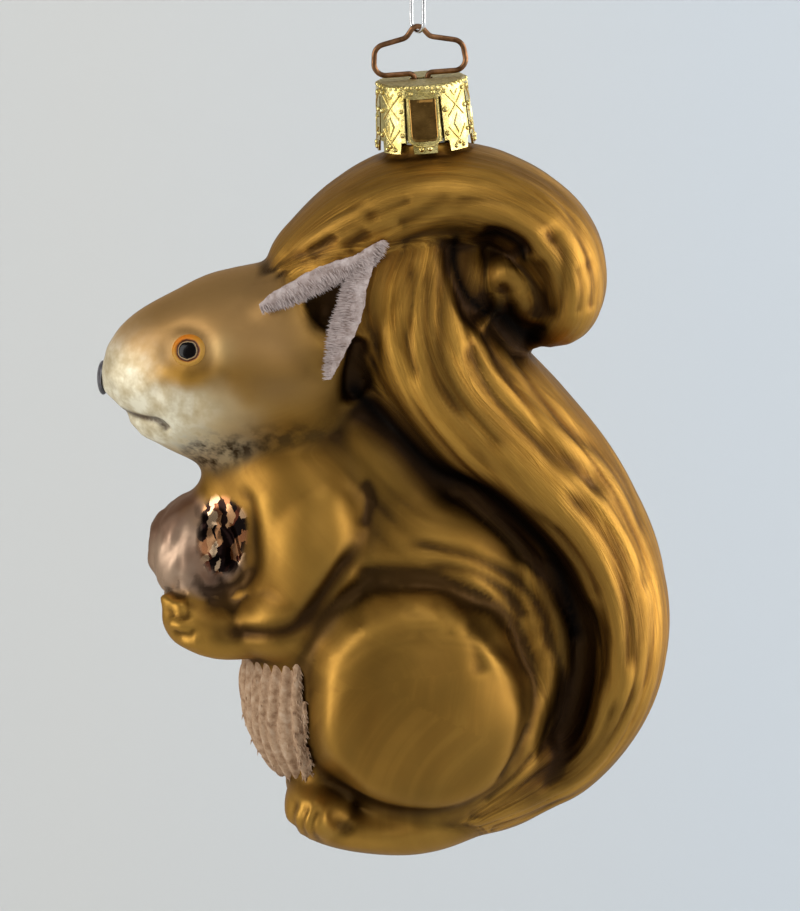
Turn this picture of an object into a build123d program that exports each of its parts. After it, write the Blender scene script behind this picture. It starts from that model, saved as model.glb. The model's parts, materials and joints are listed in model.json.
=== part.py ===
"""Blown glass squirrel ornament with its crown cap, wire loop and hook.

Millimetres, +Z up, X along the squirrel (head at -X, tail at +X), Y away from
the viewer. The squirrel is the same on both sides of the plane Y = 0.
The origin is the inside of the hook's upper bend, where the ornament hangs.
"""
from build123d import *
from math import cos, radians, sin
import os

# Overall glass figure
figure_width = 69.0
figure_height = 87.1
figure_depth = 42.0
glass_wall = 0.8
smallest_tip = 0.2
seam_turn = 90.0

# Clearances
seat_gap = 0.15
slide_gap = 0.10
paste_gap = 0.03
foot_gap = 0.5
cut_overrun = 1.0

# Hook
hook_wire = 0.45
hook_drop = 30.0
hook_top_bend = 5.2
hook_low_bend = 1.3
hook_straight = 7.0
hook_shank_bend = 12.0
hook_short_leg = 8.0
hook_tip_length = 3.5
hook_tip_kick = 0.8
hook_tip_bend = 3.0
hook_turn = 55.0

# Wire loop
loop_wire = 0.65
loop_width = 12.0
loop_height = 6.3
loop_lift = 0.62
loop_corner = 1.4
loop_upper_width_share = 0.93
loop_upper_height_share = 0.66
loop_shoulder_bend = 1.2
loop_shoulder_run = 1.25
loop_peak_bend = 0.85
loop_peak_slope = 52.0
leg_spread = 3.0
leg_gap = 0.8
leg_length = 6.6
leg_throat = 0.9
leg_flare = 2.2
leg_bend = 0.6
pivot_gap = 0.08

# Crown cap
cap_top_radius = 5.4
cap_skirt_radius = 5.9
cap_height = 8.2
cap_sheet = 0.3
cap_edge_round = 0.5
cap_lean = 4.3
cap_tabs = 8
slit_width = 0.32
slit_start = 1.5
notch_width = 2.0
notch_top_share = 0.75
notch_height = 1.35
slot_length = 2.9
slot_width = 1.3

# Glass neck
neck_wall = 0.85
neck_split = 7.2
neck_root = 3.2

# Frosting and enamel
frosting_thickness = 0.45
ear_corner = 0.8
ear_rise = 3.6
ear_draft = 1.6
ear_hollow_depth = 0.7
ear_hollow_draft = 0.3
eye_width = 3.7
eye_height = 3.2
enamel_thickness = 0.35
nose_length = 1.5
nose_height = 4.2
nose_width = 3.2

# Where the neck stands on the figure, in shares of its width and height
neck_x_share = 0.577
neck_z_share = 0.997

# Spines of the drawn-out forms: x, z, half width across the spine, half depth.
# x and the half width are shares of the figure's width, z of its height,
# and the half depth of its depth.
tail_stem_shares = [
    (0.670, 0.079, 0.028, 0.143),
    (0.826, 0.139, 0.066, 0.226),
    (0.897, 0.234, 0.083, 0.281),
    (0.908, 0.354, 0.097, 0.310),
    (0.847, 0.470, 0.113, 0.324),
    (0.739, 0.572, 0.132, 0.333),
    (0.621, 0.673, 0.134, 0.324),
    (0.570, 0.783, 0.132, 0.298),
    (0.586, 0.875, 0.104, 0.226),
    (0.600, 0.924, 0.077, 0.167),
]
tail_crown_shares = [
    (0.308, 0.828, 0.016, 0.095),
    (0.367, 0.868, 0.045, 0.190),
    (0.459, 0.910, 0.068, 0.262),
    (0.557, 0.939, 0.075, 0.286),
    (0.666, 0.939, 0.075, 0.295),
    (0.758, 0.907, 0.071, 0.295),
    (0.816, 0.845, 0.073, 0.286),
    (0.821, 0.783, 0.064, 0.250),
    (0.797, 0.744, 0.042, 0.167),
    (0.783, 0.724, 0.014, 0.071),
]
head_shares = [
    (0.005, 0.673, 0.012, 0.024),
    (0.017, 0.673, 0.030, 0.062),
    (0.037, 0.679, 0.056, 0.100),
    (0.066, 0.685, 0.092, 0.138),
    (0.103, 0.686, 0.125, 0.176),
    (0.148, 0.683, 0.151, 0.214),
    (0.209, 0.685, 0.170, 0.248),
    (0.270, 0.693, 0.174, 0.271),
    (0.339, 0.706, 0.170, 0.276),
    (0.400, 0.717, 0.150, 0.252),
    (0.443, 0.720, 0.112, 0.205),
    (0.505, 0.722, 0.072, 0.131),
]
# Rounded forms: x, z, y, half width, half height, half depth
chest_shares = (0.357, 0.523, 0.0, 0.148, 0.106, 0.274)
bib_shares = (0.228, 0.508, 0.0, 0.052, 0.059, 0.143)
lap_shares = (0.252, 0.375, 0.0, 0.115, 0.073, 0.155)
shoulder_shares = (0.388, 0.445, 0.0, 0.139, 0.141, 0.321)
belly_shares = (0.450, 0.241, 0.0, 0.191, 0.166, 0.333)
back_shares = (0.583, 0.396, 0.0, 0.188, 0.169, 0.321)
saddle_shares = (0.548, 0.586, 0.0, 0.148, 0.134, 0.238)
nape_shares = (0.478, 0.804, 0.0, 0.165, 0.134, 0.262)
loin_shares = (0.783, 0.304, 0.0, 0.130, 0.190, 0.238)
haunch_shares = (0.583, 0.217, 0.0, 0.226, 0.166, 0.500)
foot_shares = (0.513, 0.051, 0.0, 0.184, 0.048, 0.310)
rump_shares = (0.670, 0.149, 0.0, 0.179, 0.121, 0.310)
curl_shares = (0.730, 0.804, 0.0, 0.104, 0.092, 0.190)
nut_shares = (0.188, 0.432, 0.0, 0.101, 0.083, 0.181)
upper_arm_shares = (0.384, 0.442, 0.214, 0.087, 0.124, 0.131)
elbow_shares = (0.336, 0.346, 0.219, 0.090, 0.051, 0.119)
wrist_shares = (0.228, 0.328, 0.157, 0.094, 0.038, 0.102)
paw_shares = (0.157, 0.347, 0.120, 0.047, 0.039, 0.115)
toes_shares = (0.383, 0.082, 0.170, 0.061, 0.048, 0.190)

# Ear outline and hollow: x, z and y of their corners, on one slanted face
ear_shares = [(0.283, 0.796, 0.238), (0.501, 0.889, 0.250), (0.414, 0.708, 0.293)]
ear_hollow_shares = [(0.355, 0.806), (0.456, 0.857), (0.421, 0.757)]

# Band of frosting down the belly: x, z
belly_band_shares = [
    (0.20, 0.31), (0.357, 0.31), (0.365, 0.254), (0.370, 0.183), (0.384, 0.12), (0.20, 0.12),
]

# Places of the eyes and the nose: x, z
eye_place_share = (0.163, 0.733)
nose_place_share = (0.011, 0.675)

# The loop, the cap and the neck share one axis through the hook's lower bend
lean = radians(cap_lean)
axis_up = Vector(-sin(lean), 0, cos(lean))
axis_side = Vector(cos(lean), 0, sin(lean))
pivot = Vector(0, 0, -hook_drop - hook_wire / 2)
loop_rise = loop_height - loop_wire / 2 - pivot_gap - hook_wire / 2
cap_top = pivot - axis_up * loop_rise
neck_radius = cap_top_radius - cap_sheet - slide_gap
bore_radius = neck_radius - neck_wall

# The figure hangs where its neck comes out of the cap
side_plane = Plane(origin=(0, 0, 0), x_dir=(1, 0, 0), z_dir=(0, -1, 0))
neck_meets = cap_top - axis_up * (cap_height + foot_gap)
figure_left = neck_meets.X - neck_x_share * figure_width
figure_bottom = neck_meets.Z - neck_z_share * figure_height


def across_axis(height):
    """Plane square to the cap's axis, at a height above the cap's top."""
    return Plane(origin=cap_top + axis_up * height, x_dir=axis_side, z_dir=axis_up)


def place(x_share, z_share):
    """X and Z of a place that is given in shares of the figure."""
    return figure_left + x_share * figure_width, figure_bottom + z_share * figure_height


def outline(shares):
    """Corners of a flat outline that is given in shares of the figure."""
    return [place(x_share, z_share) for x_share, z_share in shares]


def rounded_form(shares, grow=0.0, way=1):
    """Ellipsoid of the figure, grown or shrunk all round, with its seam outwards."""
    x_share, z_share, y_share, half_x, half_z, half_y = shares
    x, z = place(x_share, z_share)
    half_sizes = (
        half_x * figure_width + grow,
        half_y * figure_depth + grow,
        half_z * figure_height + grow,
    )
    with BuildPart() as form:
        Sphere(radius=1, rotation=(0, 0, way * seam_turn))
        scale(by=half_sizes)
    return form.part.moved(Location((x, way * y_share * figure_depth, z)))


def drawn_form(rows, grow=0.0):
    """Loft of elliptical sections along a spine, its ends moved with its skin."""
    spine = [Vector(x, 0, z) for x, z in outline([row[:2] for row in rows])]
    last = len(rows) - 1
    with BuildPart() as form:
        for i, row in enumerate(rows):
            step = (spine[min(i + 1, last)] - spine[max(i - 1, 0)]).normalized()
            centre = spine[i]
            if i == 0:
                centre = centre - step * grow
            if i == last:
                centre = centre + step * grow
            across = max(row[2] * figure_width + grow, smallest_tip)
            deep = max(row[3] * figure_depth + grow, smallest_tip)
            with BuildSketch(Plane(origin=centre, x_dir=(0, 1, 0), z_dir=step)):
                Ellipse(deep, across)
        loft()
    return form.part


def limbs(grow=0.0):
    """Arms and toes, on the near and the far side of the figure."""
    pairs = (upper_arm_shares, elbow_shares, wrist_shares, toes_shares)
    return [rounded_form(shares, grow, way) for shares in pairs for way in (-1, 1)]


def figure_forms(grow=0.0):
    """All forms that blend into the glass figure."""
    drawn = (tail_stem_shares, tail_crown_shares, head_shares)
    rounded = (
        chest_shares, bib_shares, lap_shares, shoulder_shares, belly_shares,
        back_shares, saddle_shares, nape_shares, loin_shares, haunch_shares,
        foot_shares, rump_shares, curl_shares, nut_shares,
    )
    forms = [drawn_form(shares, grow) for shares in drawn]
    forms += [rounded_form(shares, grow) for shares in rounded]
    return forms + limbs(grow)


def ear_face(way, lift):
    """Slanted plane of an ear's rim, facing away from the head."""
    corners = []
    for x_share, z_share, y_share in ear_shares:
        x, z = place(x_share, z_share)
        corners.append(Vector(x, way * y_share * figure_depth, z))
    normal = (corners[1] - corners[0]).cross(corners[2] - corners[0]).normalized()
    if normal.Y * way < 0:
        normal = -normal
    return Plane(origin=corners[0] + normal * lift, x_dir=corners[1] - corners[0], z_dir=normal)


def on_ear(face, shares, grow=0.0):
    """Outline with rounded corners on an ear's face, for the sketch that is open."""
    corners = []
    for row in shares:
        x, z = place(row[0], row[1])
        reach = face.origin - Vector(x, 0, z)
        depth = reach.dot(face.z_dir) / face.z_dir.Y
        local = face.to_local_coords(Vector(x, depth, z))
        corners.append((local.X, local.Y))
    with BuildSketch(Plane.XY, mode=Mode.PRIVATE) as flat:
        Polygon(*corners, align=None)
        if grow:
            offset(amount=grow, kind=Kind.INTERSECTION)
        fillet(flat.vertices(), radius=ear_corner)
    return flat.sketch


def ear_form(way, root, root_grow, top, shares):
    """Solid between two heights over an ear's face, with sloped sides."""
    with BuildPart() as form:
        for lift, grow in ((root, root_grow), (top, 0)):
            face = ear_face(way, lift)
            with BuildSketch(face):
                add(on_ear(face, shares, grow))
        loft()
    return form.part


os.makedirs("parts", exist_ok=True)

# Hook: one wire with a small bend below and a wide open bend above
turn = radians(hook_turn)
hook_plane = Plane(
    origin=(0, 0, 0),
    x_dir=(cos(turn), -sin(turn), 0),
    z_dir=(-sin(turn), -cos(turn), 0),
)
low_centre = pivot.Z + hook_low_bend
top_centre = hook_wire / 2 - hook_top_bend
shank_start = low_centre + hook_straight
shank_end = top_centre - hook_straight
with BuildPart() as hanging_hook:
    with BuildLine(hook_plane) as hook_path:
        Line((-hook_low_bend, low_centre + hook_short_leg), (-hook_low_bend, low_centre))
        ThreePointArc(
            (-hook_low_bend, low_centre),
            (0, pivot.Z),
            (hook_low_bend, low_centre),
        )
        FilletPolyline(
            (hook_low_bend, low_centre),
            (hook_low_bend, shank_start),
            (hook_top_bend, shank_end),
            (hook_top_bend, top_centre),
            radius=hook_shank_bend,
        )
        ThreePointArc(
            (hook_top_bend, top_centre),
            (0, top_centre + hook_top_bend),
            (-hook_top_bend, top_centre),
        )
        FilletPolyline(
            (-hook_top_bend, top_centre),
            (-hook_top_bend, top_centre - hook_tip_length / 2),
            (-hook_top_bend - hook_tip_kick, top_centre - hook_tip_length),
            radius=hook_tip_bend,
        )
    wire = hook_path.wire()
    with BuildSketch(Plane(origin=wire @ 0, z_dir=wire % 0)):
        Circle(hook_wire / 2)
    sweep()
hanging_hook.part.label = "hanging_hook"
export_step(hanging_hook.part, "parts/hanging_hook.step")

# Wire loop: two legs spread in the neck and meet in a peak under the hook
loop_plane = Plane(origin=cap_top, x_dir=axis_side, z_dir=axis_side.cross(axis_up))
slope = radians(loop_peak_slope)
peak_centre = loop_height - loop_peak_bend
peak_foot = (loop_peak_bend * sin(slope), peak_centre + loop_peak_bend * cos(slope))
shoulder = (
    peak_foot[0] + loop_shoulder_run * cos(slope),
    peak_foot[1] - loop_shoulder_run * sin(slope),
)


def loop_half(way):
    """Corners of one half of the loop, from the leg's tip up to the peak."""
    half = loop_width / 2 - loop_wire / 2
    corners = [
        (leg_spread, -leg_length),
        (leg_spread, -leg_throat - leg_flare),
        (leg_gap, -leg_throat),
        (leg_gap, loop_lift),
        (half, loop_lift),
        (half * loop_upper_width_share, loop_height * loop_upper_height_share),
        shoulder,
        peak_foot,
    ]
    return [(way * x, z) for x, z in corners]


half_bends = [leg_bend, leg_bend, leg_bend, loop_corner, loop_corner, loop_shoulder_bend]
with BuildPart() as hanger_wire:
    with BuildLine(loop_plane) as loop_path:
        FilletPolyline(*loop_half(1), radius=half_bends)
        ThreePointArc(peak_foot, (0, loop_height), (-peak_foot[0], peak_foot[1]))
        FilletPolyline(*reversed(loop_half(-1)), radius=half_bends[::-1])
    wire = loop_path.wire()
    with BuildSketch(Plane(origin=wire @ 0, z_dir=wire % 0)):
        Circle(loop_wire / 2)
    sweep()
hanger_wire.part.label = "hanger_wire"
export_step(hanger_wire.part, "parts/hanger_wire.step")

# Crown cap: a thin pressed cup with a slot in its top and eight tabs
with BuildPart() as cap_inside:
    with BuildSketch(across_axis(-cap_height)):
        Circle(cap_skirt_radius - cap_sheet)
    with BuildSketch(across_axis(-cap_sheet)):
        Circle(cap_top_radius - cap_sheet)
    loft()

with BuildPart() as crown_cap:
    with BuildSketch(across_axis(-cap_height)):
        Circle(cap_skirt_radius)
    with BuildSketch(across_axis(0)):
        Circle(cap_top_radius)
    loft()
    fillet(crown_cap.edges().group_by(Axis.Z)[-1], radius=cap_edge_round)
    add(cap_inside.part, mode=Mode.SUBTRACT)
    with BuildSketch(across_axis(0)):
        SlotOverall(slot_length, slot_width)
    extrude(amount=cap_sheet + cut_overrun, both=True, mode=Mode.SUBTRACT)
    for i in range(cap_tabs):
        around = radians(360 * (i + 0.5) / cap_tabs)
        outward = axis_side * cos(around) + Vector(0, 1, 0) * sin(around)
        tab_side = Plane(origin=cap_top, x_dir=axis_up.cross(outward), z_dir=outward)
        with BuildSketch(tab_side):
            with Locations((0, -(slit_start + cap_height) / 2)):
                Rectangle(slit_width, cap_height - slit_start)
            Polygon(
                (-notch_width / 2, -cap_height - cut_overrun),
                (notch_width / 2, -cap_height - cut_overrun),
                (notch_width * notch_top_share / 2, -cap_height + notch_height),
                (-notch_width * notch_top_share / 2, -cap_height + notch_height),
                align=None,
            )
        extrude(amount=cap_skirt_radius + cut_overrun, mode=Mode.SUBTRACT)
crown_cap.part.label = "crown_cap"
export_step(crown_cap.part, "parts/crown_cap.step")

# Glass neck: the plain tube inside the cap
with BuildPart() as glass_neck:
    with BuildSketch(across_axis(-neck_split)):
        Circle(neck_radius)
        Circle(bore_radius, mode=Mode.SUBTRACT)
    extrude(amount=neck_split - cap_sheet - seat_gap)
glass_neck.part.label = "glass_neck"
export_step(glass_neck.part, "parts/glass_neck.step")

# Glass figure: one hollow bubble with the root of its neck
neck_depth = cap_height + foot_gap + neck_root
with BuildPart() as collar:
    with BuildSketch(across_axis(-neck_depth)):
        Circle(neck_radius)
    extrude(amount=neck_depth - neck_split)

with BuildPart() as bore:
    with BuildSketch(across_axis(-neck_depth)):
        Circle(bore_radius)
    extrude(amount=neck_depth)

# The paws and the ears are moulded so tight that they stay solid glass
paws = [rounded_form(paw_shares, 0, way) for way in (-1, 1)]
ears = [ear_form(way, -ear_rise, ear_draft, 0, ear_shares) for way in (-1, 1)]
hollows = [
    ear_form(way, -ear_hollow_depth, -ear_hollow_draft, cut_overrun, ear_hollow_shares)
    for way in (-1, 1)
]
with BuildPart() as cavity:
    add(figure_forms(-glass_wall) + [bore.part])

with BuildPart() as glass_body:
    add(figure_forms() + paws + ears + [collar.part])
    add(hollows, mode=Mode.SUBTRACT)
    add(cavity.part, mode=Mode.SUBTRACT)
glass_body.part.label = "glass_body"
export_step(glass_body.part, "parts/glass_body.step")

# Frosting on the ears: a band between the ear's outline and its hollow
for name, way in (("left", -1), ("right", 1)):
    rim = ear_face(way, paste_gap)
    with BuildPart() as ear_frosting:
        with BuildSketch(rim):
            add(on_ear(rim, ear_shares))
            add(on_ear(rim, ear_hollow_shares), mode=Mode.SUBTRACT)
        extrude(amount=frosting_thickness)
    ear_frosting.part.label = "ear_frosting_" + name
    export_step(ear_frosting.part, "parts/ear_frosting_" + name + ".step")

# Frosting down the belly: a skin over the belly between the haunches
belly_neighbours = [
    rounded_form(shares, paste_gap)
    for shares in (belly_shares, haunch_shares, shoulder_shares, lap_shares, foot_shares)
]
belly_neighbours += limbs(paste_gap) + paws
with BuildPart() as belly_frosting:
    add(rounded_form(belly_shares, frosting_thickness))
    with BuildSketch(side_plane):
        Polygon(*outline(belly_band_shares), align=None)
    extrude(amount=figure_depth, both=True, mode=Mode.INTERSECT)
    for form in belly_neighbours:
        add(form, mode=Mode.SUBTRACT)
belly_frosting.part.label = "belly_frosting"
export_step(belly_frosting.part, "parts/belly_frosting.step")

# Enamel drops: the eyes and the nose, laid on the head
head_skin = drawn_form(head_shares, paste_gap)
eye_x, eye_z = place(*eye_place_share)
eye_line = Axis((eye_x, -figure_depth, eye_z), (0, 1, 0))
eye_hits = sorted(head_skin.find_intersection_points(eye_line), key=lambda hit: hit[0].Y)
for name, (eye_point, eye_normal) in zip(("left", "right"), (eye_hits[0], eye_hits[-1])):
    eye_plane = Plane(origin=eye_point, x_dir=(0, 0, 1), z_dir=eye_normal)
    with BuildPart() as eye:
        Sphere(radius=1)
        scale(by=(eye_height / 2, eye_width / 2, enamel_thickness))
    with BuildPart() as eye_enamel:
        add(eye.part.moved(eye_plane.location))
        add(head_skin, mode=Mode.SUBTRACT)
    eye_enamel.part.label = "eye_enamel_" + name
    export_step(eye_enamel.part, "parts/eye_enamel_" + name + ".step")

nose_x, nose_z = place(*nose_place_share)
with BuildPart() as nose:
    Sphere(radius=1)
    scale(by=(nose_length / 2, nose_width / 2, nose_height / 2))
with BuildPart() as nose_enamel:
    add(nose.part.moved(Location((nose_x, 0, nose_z))))
    add(head_skin, mode=Mode.SUBTRACT)
nose_enamel.part.label = "nose_enamel"
export_step(nose_enamel.part, "parts/nose_enamel.step")
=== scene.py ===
# %% [markdown]
# # A blown glass squirrel
# This lesson dresses a hanging glass ornament: a squirrel of silvered, lacquered
# glass with frosting on its ears and belly, a gold crown cap, a spring loop and a hook.
# The exact solids come first. Everything below is fitted to them, so that each
# new piece sits where the real piece would sit.

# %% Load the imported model
import json
import math
import bmesh
import bpy
import numpy as np
from mathutils import Matrix, Vector


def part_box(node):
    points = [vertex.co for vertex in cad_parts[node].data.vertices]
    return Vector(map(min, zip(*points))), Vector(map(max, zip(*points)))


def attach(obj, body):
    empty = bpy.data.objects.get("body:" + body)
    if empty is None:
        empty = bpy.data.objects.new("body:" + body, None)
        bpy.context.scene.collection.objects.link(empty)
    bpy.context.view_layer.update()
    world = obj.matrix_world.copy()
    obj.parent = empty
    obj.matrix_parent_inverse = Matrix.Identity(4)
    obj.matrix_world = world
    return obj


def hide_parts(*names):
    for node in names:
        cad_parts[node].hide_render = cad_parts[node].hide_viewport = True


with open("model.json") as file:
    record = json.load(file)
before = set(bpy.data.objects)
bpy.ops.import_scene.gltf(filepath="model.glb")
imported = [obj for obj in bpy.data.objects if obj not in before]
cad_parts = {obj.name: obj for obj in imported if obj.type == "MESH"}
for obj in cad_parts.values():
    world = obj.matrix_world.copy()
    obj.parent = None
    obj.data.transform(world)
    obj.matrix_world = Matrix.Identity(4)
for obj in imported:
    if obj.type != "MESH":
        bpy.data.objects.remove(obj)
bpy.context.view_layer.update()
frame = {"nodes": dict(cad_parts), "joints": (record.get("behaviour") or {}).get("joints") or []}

nodes = frame["nodes"]
joints = {joint["name"]: joint for joint in frame["joints"]}
print("solids:", sorted(nodes))

# %% [markdown]
# ## Measures
# The figure was drawn in shares of its width, height and depth, so the same shares
# find any place on it again: the eye, a toe, the tip of the tail. Shapes are worked
# in millimetres, because a hair groove is easier to judge as 1.5 than as 0.0015.

# %% Measures of the figure and of the cap's axis
MM = 0.001
WIDTH, HEIGHT, DEPTH = 69.0, 87.1, 42.0
NOSE_SHARE, SOLE_SHARE = 0.005, 0.003
glass_low, glass_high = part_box("glass_body")
LEFT = glass_low.x / MM - NOSE_SHARE * WIDTH
BOTTOM = glass_low.z / MM - SOLE_SHARE * HEIGHT
PIVOT = Vector(joints["hanger_swing"]["pos_m"]) / MM
CAP_TOP = Vector(joints["hanger_rock"]["pos_m"]) / MM
AXIS_UP = -Vector(joints["cap_pull"]["axis"]).normalized()
AXIS_SIDE = Vector(joints["hanger_rock"]["axis"]).normalized()
AXIS_BACK = AXIS_UP.cross(AXIS_SIDE).normalized()
print("figure from", round(LEFT, 2), "and", round(BOTTOM, 2), "cap top", CAP_TOP[:])


def places(shares):
    """X and Z in millimetres of places given in shares of the figure."""
    table = np.array(shares, float)
    return table[:, :2] * (WIDTH, HEIGHT) + (LEFT, BOTTOM)


# %% [markdown]
# ## Camera
# The photograph was taken from a little above with a long lens, so that the far
# and the near side of the cap look almost the same size. The camera here stands
# 1.2 m away and its lens is worked out from the size of a pixel on the ornament.

# %% Camera
PIXEL = 0.12
PICTURE = (800, 911)
PIVOT_PIXEL = (417.5, 31.5)
CAMERA_RISE = math.radians(12)
CAMERA_FAR = 1200.0
SENSOR = 36.0
camera_data = bpy.data.cameras.new("camera")
camera_data.sensor_width = SENSOR
camera_data.lens = SENSOR * CAMERA_FAR / (PICTURE[1] * PIXEL)
camera_data.clip_end = 50
camera = bpy.data.objects.new("camera", camera_data)
bpy.context.scene.collection.objects.link(camera)
bpy.context.scene.camera = camera
view_up = Vector((0, math.sin(CAMERA_RISE), math.cos(CAMERA_RISE)))
view_back = Vector((0, -math.cos(CAMERA_RISE), math.sin(CAMERA_RISE)))
aim = PIVOT + Vector((PICTURE[0] / 2 - PIVOT_PIXEL[0], 0, 0)) * PIXEL
aim -= view_up * (PICTURE[1] / 2 - PIVOT_PIXEL[1]) * PIXEL
camera.location = (aim + view_back * CAMERA_FAR) * MM
camera.rotation_euler = (math.pi / 2 - CAMERA_RISE, 0, 0)
print("lens", round(camera_data.lens), "mm, aimed at", [round(v, 1) for v in aim])

# %% [markdown]
# ## Light and backdrop
# Satin metal shows its surroundings as soft patches, so the light is made of large
# soft panels with darker room between them. The backdrop is pale and plain.

# %% World and lamps
scene = bpy.context.scene
scene.view_settings.view_transform = "Standard"
world = bpy.data.worlds.new("room")
scene.world = world
world.use_nodes = True
world.node_tree.nodes["Background"].inputs["Color"].default_value = (0.86, 0.88, 0.90, 1)
world.node_tree.nodes["Background"].inputs["Strength"].default_value = 0.30


def panel(name, place, size, power, colour):
    """Soft lamp that looks at the middle of the ornament."""
    lamp = bpy.data.lights.new(name, "AREA")
    lamp.shape = "RECTANGLE"
    lamp.size, lamp.size_y = size
    lamp.energy = power
    lamp.color = colour
    piece = bpy.data.objects.new(name, lamp)
    middle = aim * MM
    piece.location = Vector(place)
    piece.rotation_euler = (middle - piece.location).to_track_quat("-Z", "Y").to_euler()
    scene.collection.objects.link(piece)


panel("window_right", (0.85, -0.30, 0.10), (0.40, 0.8), 4.6, (1.0, 0.98, 0.95))
panel("window_far_right", (0.85, 0.30, 0.05), (0.45, 0.8), 6.5, (1.0, 0.98, 0.94))
panel("window_left", (-0.85, -0.25, 0.10), (0.45, 0.8), 5.5, (1.0, 0.99, 0.97))
panel("ceiling", (0.10, -0.25, 0.75), (0.5, 0.4), 1.5, (0.97, 0.98, 1.0))
panel("front_fill", (0.15, -0.95, 0.25), (0.7, 0.5), 1.2, (1.0, 1.0, 1.0))

# %% Floor and backdrop
FLOOR_Z, WALL_Y, SWEEP = -0.30, 0.75, 0.35
steps = [(-1.6, FLOOR_Z)]
for i in range(13):
    turn = math.pi / 2 * i / 12
    steps.append((WALL_Y - SWEEP + SWEEP * math.sin(turn), FLOOR_Z + SWEEP - SWEEP * math.cos(turn)))
steps.append((WALL_Y, 1.4))
floor_mesh = bpy.data.meshes.new("backdrop")
floor_verts = [(x, y, z) for y, z in steps for x in (-2.0, 2.0)]
floor_faces = [(2 * i, 2 * i + 1, 2 * i + 3, 2 * i + 2) for i in range(len(steps) - 1)]
floor_mesh.from_pydata(floor_verts, [], floor_faces)
floor_mesh.shade_smooth()
backdrop = bpy.data.objects.new("backdrop", floor_mesh)
scene.collection.objects.link(backdrop)


# %% [markdown]
# ## Shading helpers
# Each material is a small node tree. These helpers keep the trees short: one adds
# a node and sets its values, one joins two sockets, one reads an attribute that the
# sculpting below writes on the mesh.

# %% Node helpers
def new_material(name):
    """Empty material with its Principled shader and its node tree."""
    material = bpy.data.materials.new(name)
    material.use_nodes = True
    tree = material.node_tree
    return material, tree, tree.nodes["Principled BSDF"]


def add_node(tree, kind, **values):
    """Node with some of its inputs or settings given by name."""
    node = tree.nodes.new(kind)
    for name, value in values.items():
        socket = name.replace("_", " ")
        if hasattr(node, name):
            setattr(node, name, value)
        elif socket in node.inputs:
            node.inputs[socket].default_value = value
    return node


def ramp(tree, source, stops, interpolation="LINEAR"):
    """Colour ramp with the given stops, fed by a socket."""
    node = tree.nodes.new("ShaderNodeValToRGB")
    node.color_ramp.interpolation = interpolation
    elements = node.color_ramp.elements
    while len(elements) < len(stops):
        elements.new(0.5)
    for element, (place, colour) in zip(elements, stops):
        element.position = place
        element.color = (*colour, 1) if len(colour) == 3 else colour
    tree.links.new(source, node.inputs["Fac"])
    return node.outputs["Color"]


def mix(tree, factor, first, second, blend="MIX"):
    """Colour mix; each of its inputs is a socket or a value."""
    node = tree.nodes.new("ShaderNodeMix")
    node.data_type = "RGBA"
    node.blend_type = blend
    for socket, value in ((0, factor), (6, first), (7, second)):
        if isinstance(value, bpy.types.NodeSocket):
            tree.links.new(value, node.inputs[socket])
        elif socket == 0:
            node.inputs[socket].default_value = value
        else:
            node.inputs[socket].default_value = (*value, 1)
    return node.outputs[2]


def maths(tree, operation, first, second=0.0, clamp=False):
    """One sum on sockets or values."""
    node = tree.nodes.new("ShaderNodeMath")
    node.operation = operation
    node.use_clamp = clamp
    for i, value in enumerate((first, second)):
        if isinstance(value, bpy.types.NodeSocket):
            tree.links.new(value, node.inputs[i])
        else:
            node.inputs[i].default_value = value
    return node.outputs[0]


def attribute(tree, name, output="Fac"):
    """Socket that reads an attribute of the mesh."""
    node = tree.nodes.new("ShaderNodeAttribute")
    node.attribute_name = name
    return node.outputs[output]


backdrop_material, tree, shader = new_material("pale_paper")
where = add_node(tree, "ShaderNodeTexCoord")
apart = add_node(tree, "ShaderNodeSeparateXYZ")
tree.links.new(where.outputs["Object"], apart.inputs[0])
across = add_node(tree, "ShaderNodeMapRange", From_Min=-0.06, From_Max=0.06)
tree.links.new(apart.outputs["X"], across.inputs["Value"])
tint = ramp(tree, across.outputs["Result"], [(0.0, (0.655, 0.664, 0.655)), (1.0, (0.605, 0.655, 0.705))])
tree.links.new(tint, shader.inputs["Base Color"])
shader.inputs["Roughness"].default_value = 0.9
back_face = add_node(tree, "ShaderNodeNewGeometry")
clear = add_node(tree, "ShaderNodeBsdfTransparent")
choice = add_node(tree, "ShaderNodeMixShader")
tree.links.new(back_face.outputs["Backfacing"], choice.inputs[0])
tree.links.new(shader.outputs[0], choice.inputs[1])
tree.links.new(clear.outputs[0], choice.inputs[2])
for node in tree.nodes:
    if node.type == "OUTPUT_MATERIAL":
        tree.links.new(choice.outputs[0], node.inputs["Surface"])
backdrop.data.materials.append(backdrop_material)
room = world.node_tree
ray = add_node(room, "ShaderNodeLightPath")
seen = add_node(room, "ShaderNodeMix", data_type="RGBA")
seen.inputs[6].default_value = (0.86, 0.88, 0.90, 1)
seen.inputs[7].default_value = (0.60, 0.64, 0.67, 1)
room.links.new(ray.outputs["Is Camera Ray"], seen.inputs[0])
room.links.new(seen.outputs[2], room.nodes["Background"].inputs["Color"])
level = maths(room, "MULTIPLY", ray.outputs["Is Camera Ray"], 0.70)
level = maths(room, "ADD", level, 0.30)
room.links.new(level, room.nodes["Background"].inputs["Strength"])

# %% [markdown]
# ## The figure's forms
# A mould for such a figure is carved as a heap of round masses: chest, haunch, tail.
# The same masses are listed here again, so that each point of the glass can be told
# which mass it lies on. That decides which way the carved hair runs over it.

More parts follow.
